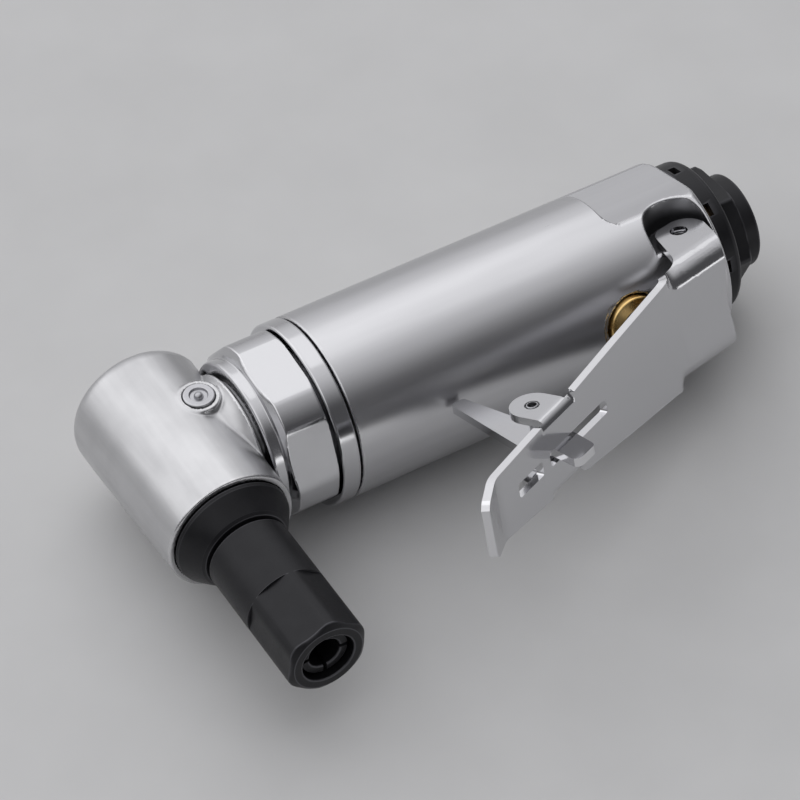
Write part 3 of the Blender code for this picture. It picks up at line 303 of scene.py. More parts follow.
def slopeOf(field, points):
    return np.stack([(field(*(points + shift).T) - field(*(points - shift).T)) / (2 * probe)
                     for shift in np.eye(3) * probe], 1)


def fieldTurn(field, points, near=0.15):
    ring = sum(field(*(points + shift).T) for step in (near, -near) for shift in np.eye(3) * step)
    return (ring - 6 * field(*points.T)) / near ** 2        # convex turn for a millimetre


def broadNormals(mesh):
    normals = np.zeros((len(mesh.vertices), 3))             # broad faces count for more, so they stay flat
    for face in mesh.polygons:
        normals[list(face.vertices)] += np.array(face.normal) * face.area
    return normals / np.maximum(np.linalg.norm(normals, axis=1), 1e-12)[:, None]


def keepPiece(name, mesh, node, field=None, sheet=False):
    bm = bmesh.new()
    bm.from_mesh(mesh)
    bmesh.ops.remove_doubles(bm, verts=bm.verts, dist=1e-7)
    bmesh.ops.recalc_face_normals(bm, faces=bm.faces)
    bm.to_mesh(mesh)
    bm.free()
    mesh.shade_smooth()
    if field:                                               # shaded by the surface's own slope
        places = (np.array([vert.co for vert in mesh.vertices], float) - crossing) / mm
        slope = slopeOf(field, places)
        slope /= np.maximum(np.linalg.norm(slope, axis=1), 1e-6)[:, None]
        mesh.normals_split_custom_set_from_vertices(slope.tolist())
        wearAndGlint = np.clip((fieldTurn(field, places) - wearGlintStart) / wearGlintRange, 0, 1)
    elif sheet:                                             # the sheared rim came as the second material, marked for a painted highlight
        mesh.normals_split_custom_set_from_vertices(broadNormals(mesh).tolist())
        wearAndGlint = np.array([face.material_index for face in mesh.polygons])
        mesh.polygons.foreach_set("material_index", np.zeros(len(mesh.polygons), np.int32))
    else:
        mesh.set_sharp_from_angle(angle=sharpAngle)
        wearAndGlint = np.clip((edgeTurn(mesh) - wearGlintStart) / wearGlintRange, 0, 1)
    # edge mark: worn edges, and on chrome and on the sheet pieces' sheared rim a painted highlight
    edge = mesh.attributes.new("edge", "FLOAT", "FACE" if sheet else "POINT")
    edge.data.foreach_set("value", wearAndGlint.astype(np.float32))
    mesh.materials.clear()
    mesh.materials.append(finishes[nodeSlots[node]])
    piece = bpy.data.objects.new(name, mesh)
    bpy.context.scene.collection.objects.link(piece)
    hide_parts(node)
    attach(piece, nodeBodies[node])
    print("piece", name, len(mesh.polygons), "faces")
    return piece


def meshOf(name, points, faces, axis=None):
    points = np.asarray(points, float)
    if axis:
        start, along, first, second = axes[axis]
        points = start + points[:, :1] * along + points[:, 1:2] * first + points[:, 2:] * second
    mesh = bpy.data.meshes.new(name)
    mesh.from_pydata((points * mm + crossing).tolist(), [], faces)
    return mesh


def fieldPiece(name, node, field, lines):
    return keepPiece(name, meshOf(name, *skin(field, *lines)), node, field)


def turned(name, node, axis, corners, segments, step=6.0, hexagon=None):
    return keepPiece(name, meshOf(name, *lathe(corners, segments, step, hexagon), axis), node)


def settled(piece):
    graph = bpy.context.evaluated_depsgraph_get()           # the piece's modifiers become plain mesh
    mesh = bpy.data.meshes.new_from_object(piece.evaluated_get(graph))
    piece.modifiers.clear()
    bpy.data.objects.remove(piece)
    return mesh


def axisMatrix(axis):
    start, along, first, second = axes[axis]
    rows = [(along[k] * mm, first[k] * mm, second[k] * mm, start[k] * mm + crossing[k]) for k in range(3)]
    return Matrix(rows + [(0, 0, 0, 1)])


def eased(corners, steps=5, closed=True):
    path = []                                             # corners of (x, y, radius), each turned with an arc
    last = len(corners) - 1
    for index, corner in enumerate(corners):
        spot = Vector(corner[:2])
        radius = corner[2] if len(corner) > 2 else 0
        if radius == 0 or (not closed and index in (0, last)):
            path.append(tuple(spot))
            continue
        before = (Vector(corners[index - 1][:2]) - spot).normalized()
        after = (Vector(corners[(index + 1) % len(corners)][:2]) - spot).normalized()
        half = before.angle(after) / 2
        middle = spot + (before + after).normalized() * (radius / math.sin(half))
        first = spot + before * (radius / math.tan(half)) - middle
        sweep = first.angle_signed(spot + after * (radius / math.tan(half)) - middle)
        for step in range(steps + 1):
            turn = -sweep * step / steps
            path.append((middle.x + first.x * math.cos(turn) - first.y * math.sin(turn),
                         middle.y + first.x * math.sin(turn) + first.y * math.cos(turn)))
    return path


def held(path, closed, step):
    points = []                                           # extra points keep the flats flat when shaded
    ends = list(zip(path, path[1:] + path[:1] if closed else path[1:]))
    for (x0, y0), (x1, y1) in ends:
        length = math.hypot(x1 - x0, y1 - y0)
        shares = [0.0]
        if length > 5 * holdBack:
            count = max(1, round((length - 2 * holdBack) / step))
            shares += list(np.linspace(holdBack, length - holdBack, count + 1) / length)
        points += [(x0 + (x1 - x0) * share, y0 + (y1 - y0) * share) for share in shares]
    return points if closed else points + [path[-1]]


def lathe(corners, segments, step=6.0, hexagon=None):
    path = eased(corners)                                 # (along, out, radius of the turn), spun round
    closed = min(radius for place, radius in path) > 0
    path = held(path, closed, step)
    angles = np.linspace(0, math.tau, segments, endpoint=False)
    place, radius = np.array(path).T
    place = np.repeat(place[:, None], segments, 1)
    radius = np.repeat(radius[:, None], segments, 1)
    if hexagon:
        low, high = hexagon["flats"]
        wrapped = (angles - math.radians(hexagon["turn"]) + math.pi / 6) % (math.pi / 3) - math.pi / 6
        flat = np.where((place > low) & (place < high), hexagon["across"] / 2 / np.cos(wrapped), math.inf)
        ease = np.maximum(hexEase - np.abs(radius - flat), 0) / hexEase
        radius = np.minimum(radius, flat) - ease ** 2 * hexEase / 4
    points = np.stack((place, radius * np.cos(angles), radius * np.sin(angles)), 2).reshape(-1, 3)
    faces = []
    rows = len(path) if closed else len(path) - 1
    for row in range(rows):
        lower, upper = row * segments, (row + 1) % len(path) * segments
        for side in range(segments):
            after = (side + 1) % segments
            faces.append((lower + side, lower + after, upper + after, upper + side))
    return points, faces


def roundMax(first, second, radius):
    corner = np.hypot(np.maximum(first + radius, 0), np.maximum(second + radius, 0))
    return np.minimum(np.maximum(first, second), -radius) + corner


def roundMin(first, second, radius):
    return -roundMax(-first, -second, radius)


def within(value, low, high):
    return np.maximum(low - value, value - high)


def drilled(reach, place, bores):
    return [np.maximum(reach - radius, within(place, low, high)) for radius, low, high in bores]


def ruled(start, *stretches):
    line = [start]                                        # each stretch runs to its end in even steps
    for end, step in stretches:
        line += list(np.linspace(line[-1], end, math.ceil((end - line[-1]) / step) + 1)[1:])
    return np.array(line)


def skin(field, *lines):
    values = field(*np.meshgrid(*lines, indexing="ij"))
    solid = values < 0
    cells = [len(line) - 1 for line in lines]
    total = np.zeros((*cells, 3))
    hits = np.zeros(cells)
    ends = (slice(0, -1), slice(1, None))
    for axis in range(3):
        others = [other for other in range(3) if other != axis]
        for near in (0, 1):
            for far in (0, 1):
                start = [None, None, None]
                start[others[0]], start[others[1]] = ends[near], ends[far]
                end = list(start)
                start[axis], end[axis] = ends
                first, second = values[tuple(start)], values[tuple(end)]
                crossed = solid[tuple(start)] != solid[tuple(end)]
                share = np.where(crossed, first / np.where(crossed, first - second, 1), 0)
                spot = np.zeros((*cells, 3))
                spot[..., axis] = share
                spot[..., others[0]] = near
                spot[..., others[1]] = far
                total += spot * crossed[..., None]
                hits += crossed
    active = hits > 0
    index = np.full(cells, -1)
    index[active] = np.arange(active.sum())
    steps = np.argwhere(active) + total[active] / hits[active][:, None]
    points = np.stack([np.interp(step, np.arange(len(line)), line) for step, line in zip(steps.T, lines)], 1)
    faces = []
    for axis in range(3):
        others = [other for other in range(3) if other != axis]
        inner = [slice(1, -1)] * 3
        shifted = list(inner)
        inner[axis], shifted[axis] = ends
        place = np.argwhere(solid[tuple(inner)] != solid[tuple(shifted)])
        place[:, others] += 1
        ring = []
        for back in ((1, 1), (0, 1), (0, 0), (1, 0)):
            corner = place.copy()
            corner[:, others] -= back
            ring.append(index[tuple(corner.T)])
        faces.append(np.stack(ring, 1))
    for turn in range(3):                                 # settle the points on the surface itself
        value, slope = field(*points.T), slopeOf(field, points)
        shift = np.clip(value / np.maximum((slope ** 2).sum(1), leastSlope), -mostShift, mostShift)
        points = points - shift[:, None] * slope
    return points, np.concatenate(faces).tolist()


def blank(loops):
    bm = bmesh.new()                                      # flat sheet in the first loop, the others are holes
    for loop in loops:
        verts = [bm.verts.new((x, y, 0)) for x, y in loop]
        for first, second in zip(verts, verts[1:] + verts[:1]):
            bm.edges.new((first, second))
    bmesh.ops.triangle_fill(bm, use_beauty=True, use_dissolve=False, edges=bm.edges)
    return bm


def sheetPiece(name, node, bm, sheet, edge, offset):
    mesh = bpy.data.meshes.new(name)
    bm.to_mesh(mesh)
    bm.free()
    piece = bpy.data.objects.new(name + "Blank", mesh)
    bpy.context.scene.collection.objects.link(piece)
    thick = piece.modifiers.new("sheet", "SOLIDIFY")
    thick.thickness = sheet * mm
    thick.offset = offset
    thick.use_even_offset = True
    for use in ("faces", "rim"):
        mesh.materials.append(finishes[nodeSlots[node]])
    thick.material_offset_rim = 1
    sheared = piece.modifiers.new("sheared", "BEVEL")
    sheared.width = edge * mm
    sheared.segments = 2
    sheared.limit_method = "ANGLE"
    sheared.angle_limit = math.radians(50)
    return keepPiece(name, settled(piece), node, sheet=True)


# node trees for what repeats round an axis or follows a path

class Maker(Graph):
    def __init__(self, name, inputs):
        super().__init__(bpy.data.node_groups.new(name, "GeometryNodeTree"))
        face = self.tree.interface
        face.new_socket("Shape", in_out="INPUT", socket_type="NodeSocketGeometry")
        self.keys = {label: face.new_socket(label, in_out="INPUT", socket_type="NodeSocket" + kind).identifier
                     for label, kind in {**inputs, "Finish": "Material"}.items()}
        face.new_socket("Shape", in_out="OUTPUT", socket_type="NodeSocketGeometry")
        self.start = self.tree.nodes.new("NodeGroupInput")

    def given(self, label):
        return Wire(self, self.start.outputs[label])

    def close(self, shape):
        real = self.add("GeometryNodeRealizeInstances", {}, {"Geometry": shape})
        done = self.add("GeometryNodeSetMaterial", {}, {"Geometry": real, "Material": self.given("Finish")})
        self.feed(self.tree.nodes.new("NodeGroupOutput").inputs["Shape"], done)

    def make(self, name, shape, axis, node, **values):
        mesh = bpy.data.meshes.new(name)
        points, edges, faces = shape
        mesh.from_pydata(np.asarray(points).tolist(), edges, faces)
        piece = bpy.data.objects.new(name + "Blank", mesh)
        bpy.context.scene.collection.objects.link(piece)
        step = piece.modifiers.new(name, "NODES")
        step.node_group = self.tree
        for label, value in values.items():
            step[self.keys[label]] = value
        step[self.keys["Finish"]] = finishes[nodeSlots[node]]
        result = settled(piece)
        result.transform(axisMatrix(axis))
        return keepPiece(name, result, node)


def ringCutter():
    maker = Maker("cutRing", {"Count": "Int", "Ring": "Float", "Along": "Float", "Slot": "Vector"})
    ring = maker.add("GeometryNodeMeshCircle", {},
                     {"Vertices": maker.given("Count"), "Radius": maker.given("Ring")})
    place = maker.add("ShaderNodeCombineXYZ", {}, {"X": maker.given("Along")})
    ring = maker.add("GeometryNodeTransform", {}, {"Geometry": ring, "Translation": place,
                                                   "Rotation": (0, -math.pi / 2, 0)})
    cutter = maker.add("GeometryNodeMeshCube", {}, {"Size": maker.given("Slot")})
    facing = maker.add("FunctionNodeAlignRotationToVector", {"axis": "Y", "pivot_axis": "X"},
                       {"Vector": maker.add("GeometryNodeInputPosition")})
    slots = maker.add("GeometryNodeInstanceOnPoints", {},
                      {"Points": ring, "Instance": cutter, "Rotation": facing})
    slots = maker.add("GeometryNodeRealizeInstances", {}, {"Geometry": slots})
    maker.close(maker.add("GeometryNodeMeshBoolean", {"operation": "DIFFERENCE", "solver": "EXACT"},
                          {"Mesh 1": maker.given("Shape"), "Mesh 2": slots}))
    return maker


def wireWinder():
    maker = Maker("windWire", {"Wire": "Float", "Sides": "Int"})
    line = maker.add("GeometryNodeMeshToCurve", {}, {"Mesh": maker.given("Shape")})
    section = maker.add("GeometryNodeCurvePrimitiveCircle", {},
                        {"Resolution": maker.given("Sides"), "Radius": maker.given("Wire")})
    maker.close(maker.add("GeometryNodeCurveToMesh", {},
                          {"Curve": line, "Profile Curve": section, "Fill Caps": True}))
    return maker


cutRing = ringCutter()
windWire = wireWinder()
coilSteps, wireSides = 24, 12


def slotted(name, node, axis, corners, size, segments):
    points, faces = lathe(corners, segments)
    low, high = size["slot"]
    return cutRing.make(name, (points, [], faces), axis, node, Count=size["slots"], Ring=size["slotRing"],
                        Along=(low + high) / 2, Slot=(high - low, size["slotReach"], size["slotWidth"]))


def wound(name, node, axis, coil):
    turns = np.linspace(0, coil["turns"], coil["turns"] * coilSteps + 1)
    rise = (coil["end"] - coil["start"]) / coil["turns"]
    path = [(coil["start"] + rise * turn, -coil["radius"] * math.sin(math.tau * turn),
             coil["radius"] * math.cos(math.tau * turn)) for turn in turns]
    if coil["leg"]:
        path = [(path[0][0], coil["leg"], path[0][2]), *path, (path[-1][0], -coil["leg"], path[-1][2])]
    links = [(k, k + 1) for k in range(len(path) - 1)]
    return windWire.make(name, (path, links, []), axis, node, Wire=coil["wire"], Sides=wireSides)


def domed(base, radius):
    turns = np.linspace(0, math.pi / 2, 9)
    return [(base + radius * math.sin(turn), radius * math.cos(turn)) for turn in turns]


# angle head: one casting with its neck and the boss for the grease fitting

head = {"back": -20.5, "backRound": 4.0, "radius": 14.0, "narrows": -12.0, "front": 19.8, "rim": 13.3,
        "rimRound": 0.4, "relief": 12.0, "reliefRadius": 18.3, "reliefRound": 0.3, "root": 2.0, "waist": 11.9,
        "flare": (6.7, 11.12), "flareRound": 5.4, "shoulder": 11.6, "shoulderRound": 0.25, "neck": 12.4,
        "neckStart": 10, "neckEnd": 29.5, "neckRound": 0.4, "groove": (15.6, 20.0), "grooveRadius": 11.0,
        "grooveRound": 0.1, "boss": 4.3, "bossTop": 13.6, "bossRound": 0.5, "blend": 0.55, "boreRound": 0.25,
        "grid": 0.38, "box": ((-15.2, 31), (-21.2, 22), (-15.2, 15.2))}
headBores = {                                           # radius, from, to
    "spindle": ((8.2, -14.8, -9), (9.6, -9.3, 9.3), (11.2, 9, 16.7), (12.0, 16.7, 22)),
    "motor": ((7.0, 0, 11), (8.1, 10.9, 32)),
    "boss": ((2.2, 4, 12), (3.2, 11.4, 16)),
}


def headField(x, y, z):
    along, ring, reach = -y, np.hypot(x, z), np.hypot(y, z)
    taper = np.clip((along - head["narrows"]) / (head["front"] - head["narrows"]), 0, 1)
    wall = ring - head["radius"] + taper * (head["radius"] - head["rim"])
    body = roundMax(wall, head["back"] - along, head["backRound"])
    body = roundMax(body, along - head["front"], head["rimRound"])
    body = roundMax(body, -np.maximum(head["relief"] - x, reach - head["reliefRadius"]), head["reliefRound"])
    flared = np.clip(x, *head["flare"]) - head["flare"][0]
    flare = head["waist"] + head["flareRound"] - np.sqrt(head["flareRound"] ** 2 - flared ** 2)
    neck = roundMax(reach - flare, within(x, head["root"], head["shoulder"]), head["shoulderRound"])
    sleeve = roundMax(reach - head["neck"], within(x, head["neckStart"], head["neckEnd"]), head["neckRound"])
    groove = np.maximum(head["grooveRadius"] - reach, within(x, *head["groove"]))
    neck = roundMax(np.minimum(neck, sleeve), -groove, head["grooveRound"])
    body = roundMin(body, neck, head["blend"])
    stem = np.hypot(x - bossPlace[0], y - bossPlace[1])
    boss = roundMax(stem - head["boss"], within(z, head["root"], head["bossTop"]), head["bossRound"])
    body = roundMin(body, boss, head["blend"])
    bores = (drilled(ring, along, headBores["spindle"]) + drilled(reach, x, headBores["motor"])
             + drilled(stem, z, headBores["boss"]))
    return roundMax(body, -np.minimum.reduce(bores), head["boreRound"])


headLines = [ruled(low, (high, head["grid"])) for low, high in head["box"]]
fieldPiece("headCasting", "angle_head", headField, headLines)

fitting = {"foot": 9.0, "stem": 1.9, "seat": 11.5, "radius": 3.08, "top": 13.9, "cup": 1.9, "floor": 13.4,
           "floorRadius": 1.7, "ball": 0.95, "ballMiddle": 13.35}
turned("greaseFitting", "grease_fitting", "boss", [
    (fitting["foot"], 0), (fitting["foot"], fitting["stem"], 0.2),
    (fitting["seat"], fitting["stem"]), (fitting["seat"], fitting["radius"]),
    (fitting["top"], fitting["radius"], 0.3), (fitting["top"], fitting["cup"], 0.1),
    (fitting["floor"], fitting["floorRadius"], 0.1),
    *domed(fitting["ballMiddle"], fitting["ball"])], segments=72)

cap = {"seat": 17.0, "plug": 11.7, "flange": 20.1, "flangeRadius": 12.2, "slope": 20.9, "slopeRadius": 12.0,
       "edge": 25.1, "edgeRadius": 9.3, "nose": 25.7, "noseRadius": 8.7, "bore": 6.9}
turned("frontCap", "front_cap", "spindle", [
    (cap["seat"], cap["bore"]), (cap["seat"], cap["plug"]),
    (cap["flange"], cap["plug"]), (cap["flange"], cap["flangeRadius"], 0.15),
    (cap["slope"], cap["slopeRadius"], 0.4), (cap["edge"], cap["edgeRadius"], 0.5),
    (cap["nose"], cap["noseRadius"], 0.25), (cap["nose"], cap["bore"], 0.2)], segments=192)


# collet, and the nut that closes it

nut = {"rear": 26.3, "radius": 8.5, "step": (41.18, 41.22), "flats": (41.2, 60), "across": 15.8, "turn": 53.0,
       "edge": 55.6, "front": 56.5, "frontRadius": 7.2, "thread": 6.6, "mouth": 5.4, "room": (41.0, 51.0),
       "roomRadius": 6.0}
turned("colletNut", "collet_nut", "spindle", [
    (nut["rear"], nut["thread"]), (nut["rear"], nut["radius"], 0.5),
    (nut["step"][0], nut["radius"]), (nut["step"][1], nut["radius"]),
    (nut["edge"], nut["radius"], 0.4), (nut["front"], nut["frontRadius"], 0.4),
    (nut["front"], nut["mouth"], 0.3), (nut["room"][1], nut["roomRadius"]),
    (nut["room"][0], nut["roomRadius"]), (nut["room"][0], nut["thread"])],
    segments=288, step=0.6, hexagon=nut)

collet = {"rear": 29.5, "bore": 3.25, "body": 4.15, "cone": (38.0, 44.0), "head": 5.6, "land": 50.0,
          "front": 55.0, "mouth": 4.9, "slots": 4, "slot": (34.0, 57.0), "slotRing": 4.0, "slotReach": 7.99,
          "slotWidth": 0.8}
slotted("slitCollet", "collet", "spindle", [
    (collet["rear"], collet["bore"]), (collet["rear"], collet["body"], 0.3),
    (collet["cone"][0], collet["body"]), (collet["cone"][1], collet["head"], 0.5),
    (collet["land"], collet["head"], 0.5), (collet["front"], collet["mouth"], 0.25),
    (collet["front"], collet["bore"], 0.35)], collet, segments=96)


# clamp nut and ring

clamp = {"front": 12.3, "collar": 16.3, "collarEnd": 14.6, "step": 14.9, "stepRadius": 17.0, "edge": 15.8,
         "corner": 18.6, "flats": (14.8, 30), "across": 34.8, "turn": 37.7, "rear": 24.6, "lip": 12.75,
         "thread": 15.5, "lipEnd": 15.6}
turned("clampNut", "clamp_nut", "motor", [
    (clamp["front"], clamp["lip"]), (clamp["front"], clamp["collar"], 0.6),
    (clamp["collarEnd"], clamp["collar"], 0.3), (clamp["step"], clamp["stepRadius"], 0.15),
    (clamp["edge"], clamp["corner"], 0.4), (clamp["rear"], clamp["corner"], 0.6),
    (clamp["rear"], clamp["thread"]), (clamp["lipEnd"], clamp["thread"]),
    (clamp["lipEnd"], clamp["lip"])], segments=360, step=0.5, hexagon=clamp)

ring = {"front": 25.1, "rear": 29.0, "outer": 19.0, "inner": 15.5}
turned("clampRing", "clamp_ring", "motor", [
    (ring["front"], ring["inner"]), (ring["front"], ring["outer"], 0.45),
    (ring["rear"], ring["outer"], 0.45), (ring["rear"], ring["inner"])], segments=192)


# barrel: side pads, arch pockets for the lever's ears, and the valve well

barrel = {"radius": 19.0, "front": 29.4, "frontRound": 0.4, "rear": 115.0, "rearRound": 1.8, "thread": 15.2,
          "threadSpan": (20.0, 32), "threadRound": 0.4, "padFront": 94.8, "padCorner": 5.0, "padHeight": 16.6,
          "padTop": 10.2, "padOpen": 102.8, "padFoot": 0.2, "padEdge": 0.35, "pocket": 6.5,
          "pocketFloor": 10.5, "pocketEdge": 0.45, "pinHole": 1.8, "exhaust": (-11.5, 8.6), "feed": -3.6,
          "boreRound": 0.3, "along": (19, (33, 0.42), (74, 2.0), (84, 1.0), (116.5, 0.41)),
          "across": (-20, (20, 0.43))}
barrelBores = {                                         # radius, from, to
    "motor": ((12.8, 10, 79),),
    "valve": ((6.1, -7, 24), (7.0, 18.4, 24)),
    "inlet": ((4.2, 94, 102), (8.2, 101, 120)),
    "exhaust": ((2.0, 77, 120),),
    "feed": ((2.4, 77, 89),),
}
pocketShade = {"margin": 0.5, "rim": 0.6, "lip": 0.3, "depth": 4}    # where painted shade darkens the lever's ear pockets


def barrelField(x, y, z):
    out = y * outward[1] + z * outward[2]
    side = y * sideways[1] + z * sideways[2]
    reach = np.hypot(y, z)
    body = roundMax(reach - barrel["radius"], x - barrel["rear"], barrel["rearRound"])
    body = roundMax(body, barrel["front"] - x, barrel["frontRound"])
    thread = roundMax(reach - barrel["thread"], within(x, *barrel["threadSpan"]), barrel["threadRound"])
    body = np.minimum(body, thread)
    pad = roundMax(barrel["padFront"] - x, out - barrel["padTop"], barrel["padCorner"])
    pad = np.minimum(pad, barrel["padOpen"] - x)
    pad = roundMax(pad, barrel["padHeight"] - np.abs(side), barrel["padFoot"])
    body = roundMax(body, -pad, barrel["padEdge"])
    fromPin = np.hypot(x - leverPin[0], np.minimum(out - leverPin[1], 0))
    pocket = np.maximum(fromPin - barrel["pocket"], barrel["pocketFloor"] - np.abs(side))
    body = roundMax(body, -pocket, barrel["pocketEdge"])
    fromExhaust = np.hypot(out - barrel["exhaust"][0], np.abs(side) - barrel["exhaust"][1])
    bores = [np.hypot(x - leverPin[0], out - leverPin[1]) - barrel["pinHole"]]
    bores += drilled(reach, x, barrelBores["motor"])
    bores += drilled(np.hypot(x - valvePlace, side), out, barrelBores["valve"])
    bores += drilled(np.hypot(out + inletDrop, side), x, barrelBores["inlet"])
    bores += drilled(fromExhaust, x, barrelBores["exhaust"])
    bores += drilled(np.hypot(out - barrel["feed"], side), x, barrelBores["feed"])
    return roundMax(body, -np.minimum.reduce(bores), barrel["boreRound"])


barrelLines = [ruled(*barrel[way]) for way in ("along", "across", "across")]
body = fieldPiece("motorBarrel", "motor_housing", barrelField, barrelLines)
# painted shade: points in the ear pockets are marked 'hollow', darker the deeper they lie below the pad
x, y, z = (np.array([vert.co for vert in body.data.vertices], float) - crossing).T / mm
side = np.abs(y * sideways[1] + z * sideways[2])
inPocket = np.abs(x - leverPin[0]) < barrel["pocket"] + pocketShade["margin"]
inPocket &= np.hypot(y, z) < barrel["radius"] - pocketShade["rim"]
inPocket &= side > barrel["pocketFloor"] - pocketShade["margin"]
inPocket &= side < barrel["padHeight"] - pocketShade["lip"]
dark = np.where(inPocket, np.clip((barrel["padHeight"] - side) / pocketShade["depth"], 0, 1), 0)
hollow = body.data.attributes.new("hollow", "FLOAT", "POINT")
hollow.data.foreach_set("value", dark.astype(np.float32))


# valve: brass bush, the plunger that the lever presses, and its spring

bush = {"low": 9.0, "high": 19.4, "radius": 5.8, "bore": 2.7, "lead": 0.5, "groove": (13.08, 14.92),
        "grooveRadius": 4.32}
turned("valveBush", "valve_bushing", "valve", [
    (bush["low"], bush["bore"]), (bush["low"], bush["radius"], 0.4),
    (bush["high"], bush["radius"], 0.4), (bush["high"], bush["bore"] + bush["lead"], 0.1),
    (bush["high"] - bush["lead"], bush["bore"]), (bush["groove"][1], bush["bore"]),
    (bush["groove"][1], bush["grooveRadius"]), (bush["groove"][0], bush["grooveRadius"]),
    (bush["groove"][0], bush["bore"])], segments=96)

plunger = {"foot": 3.2, "guide": 1.5, "disc": (5.2, 7.8), "discRadius": 4.6, "radius": 2.4, "domeStart": 25.6}
turned("valvePlunger", "valve_plunger", "valve", [
    (plunger["foot"], 0), (plunger["foot"], plunger["guide"], 0.2),
    (plunger["disc"][0], plunger["guide"]), (plunger["disc"][0], plunger["discRadius"]),
    (plunger["disc"][1], plunger["discRadius"], 0.6), (plunger["disc"][1], plunger["radius"]),
    *domed(plunger["domeStart"], plunger["radius"])], segments=72)

valveCoil = {"radius": 3.4, "wire": 0.45, "start": -6.25, "end": 4.45, "turns": 5, "leg": 0, "pressed": 0.56}
spring = wound("valveSpring", "valve_spring", "valve", valveCoil)
foot = axes["valve"][0] + outward * (valveCoil["start"] - valveCoil["wire"])
tuple(foot * mm + crossing)
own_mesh(spring)


# inlet and exhaust

inlet = {"front": 103.3, "shank": 7.9, "hexFront": 120.9, "hexRear": 124.8, "corner": 13.3,
         "faceRadius": 12.6, "chamfer": 0.5, "flats": (120.8, 124.9), "across": 23.0, "turn": 41.0,
         "neck": 8.6, "neckEnd": 125.5, "rim": 9.9, "rear": 129.0, "mouth": 6.2, "bore": 5.6,
         "threadStart": 128.1, "threads": 22, "pitch": 0.94, "depth": 0.55}
thread = []
for turn in range(inlet["threads"]):
    start = inlet["threadStart"] - turn * inlet["pitch"]
    thread += [(start, inlet["bore"]), (start - inlet["pitch"] / 2, inlet["bore"] + inlet["depth"])]
turned("inletBushing", "inlet_bushing", "inlet", [
    (inlet["front"], inlet["bore"]), (inlet["front"], inlet["shank"], 0.4),
    (inlet["hexFront"], inlet["shank"]), (inlet["hexFront"], inlet["faceRadius"], 0.1),
    (inlet["hexFront"] + inlet["chamfer"], inlet["corner"], 0.2),
    (inlet["hexRear"] - inlet["chamfer"], inlet["corner"], 0.2),
    (inlet["hexRear"], inlet["faceRadius"], 0.1), (inlet["hexRear"], inlet["neck"], 0.2),
    (inlet["neckEnd"], inlet["neck"], 0.2), (inlet["neckEnd"], inlet["rim"], 0.5),
    (inlet["rear"], inlet["rim"], 0.5), (inlet["rear"], inlet["mouth"], 0.1), *thread],
    segments=216, step=0.6, hexagon=inlet)

deflector = {"front": 115.3, "rear": 120.6, "radius": 16.0, "inside": 14.3, "floor": 118.9, "hub": 8.3,
             "slots": 8, "slot": (116.3, 117.9), "slotRing": 16.0, "slotReach": 5.0, "slotWidth": 2.8}
slotted("exhaustDeflector", "exhaust_deflector", "inlet", [
    (deflector["front"], deflector["inside"]), (deflector["front"], deflector["radius"], 0.4),
    (deflector["rear"], deflector["radius"], 1.2), (deflector["rear"], deflector["hub"], 0.15),
    (deflector["floor"], deflector["hub"]), (deflector["floor"], deflector["inside"], 0.3)],
    deflector, segments=144)


# throttle lever: one blank of sheet steel, folded along both sides

lever = {"sheet": 1.6, "sheared": 0.22, "rear": (110.05, 24.0), "bendRound": 6.0, "armLength": 67.5,
         "tipRound": 7.0, "tipBend": (33.2, 63.55), "tip": (32.4, 64.5), "aimStep": 0.3, "earFold": 8.0,
         "earRound": 4.5, "earFade": (9.5, 16.5), "earEnd": 30, "earHole": (-0.13, 10.756), "tabFold": 6.0,
         "tabRound": 2.2, "tabFade": (4.6, 6.0), "tab": 4.4, "slotHalf": 1.5, "slotRound": 0.5,
         "slots": ((29.4, 49.9), (52.5, 61.0)), "pinHole": 1.8, "lockHole": 1.5}
leverTaper = ((31.0, 33.2, 37.5, 59.0, 78.0, 97.45), (3.2, 5.9, 6.7, 8.3, 10.5, 12.5))    # place, half width
earOutline = [(18.0, 12.05), (9.3, 13.6, 5.0), (3.4, 25.2, 3.6), (-5.7, 25.0, 4.2), (-5.4, 19.5, 2.5),
              (-1.2, 10.5, 4.0), (0.0, 0.0)]
outlineSteps = {"tip": (0.6, -0.8), "arm": (1, -2.0)}   # gap at the end, step
scores = {"ear": (-5, 20, 0.9), "arm": 3, "tip": (14, 0.8), "middle": 4.2, "tabEdge": 0.2,
          "earTurn": (0, 7.6, 0.6), "tabTurn": (0, 3.7, 0.35)}    # lines that the blank can bend along


def circle(place, radius, count, share=1.0):
    turns = np.arange(count) if share == 1 else np.linspace(0, count, count + 1)
    return [(place[0] + radius * math.cos(math.tau * share * turn / count),
             place[1] + radius * math.sin(math.tau * share * turn / count)) for turn in turns]


def smoothStep(share):
    share = np.clip(share, 0, 1)
    return share ** 2 * (3 - 2 * share)


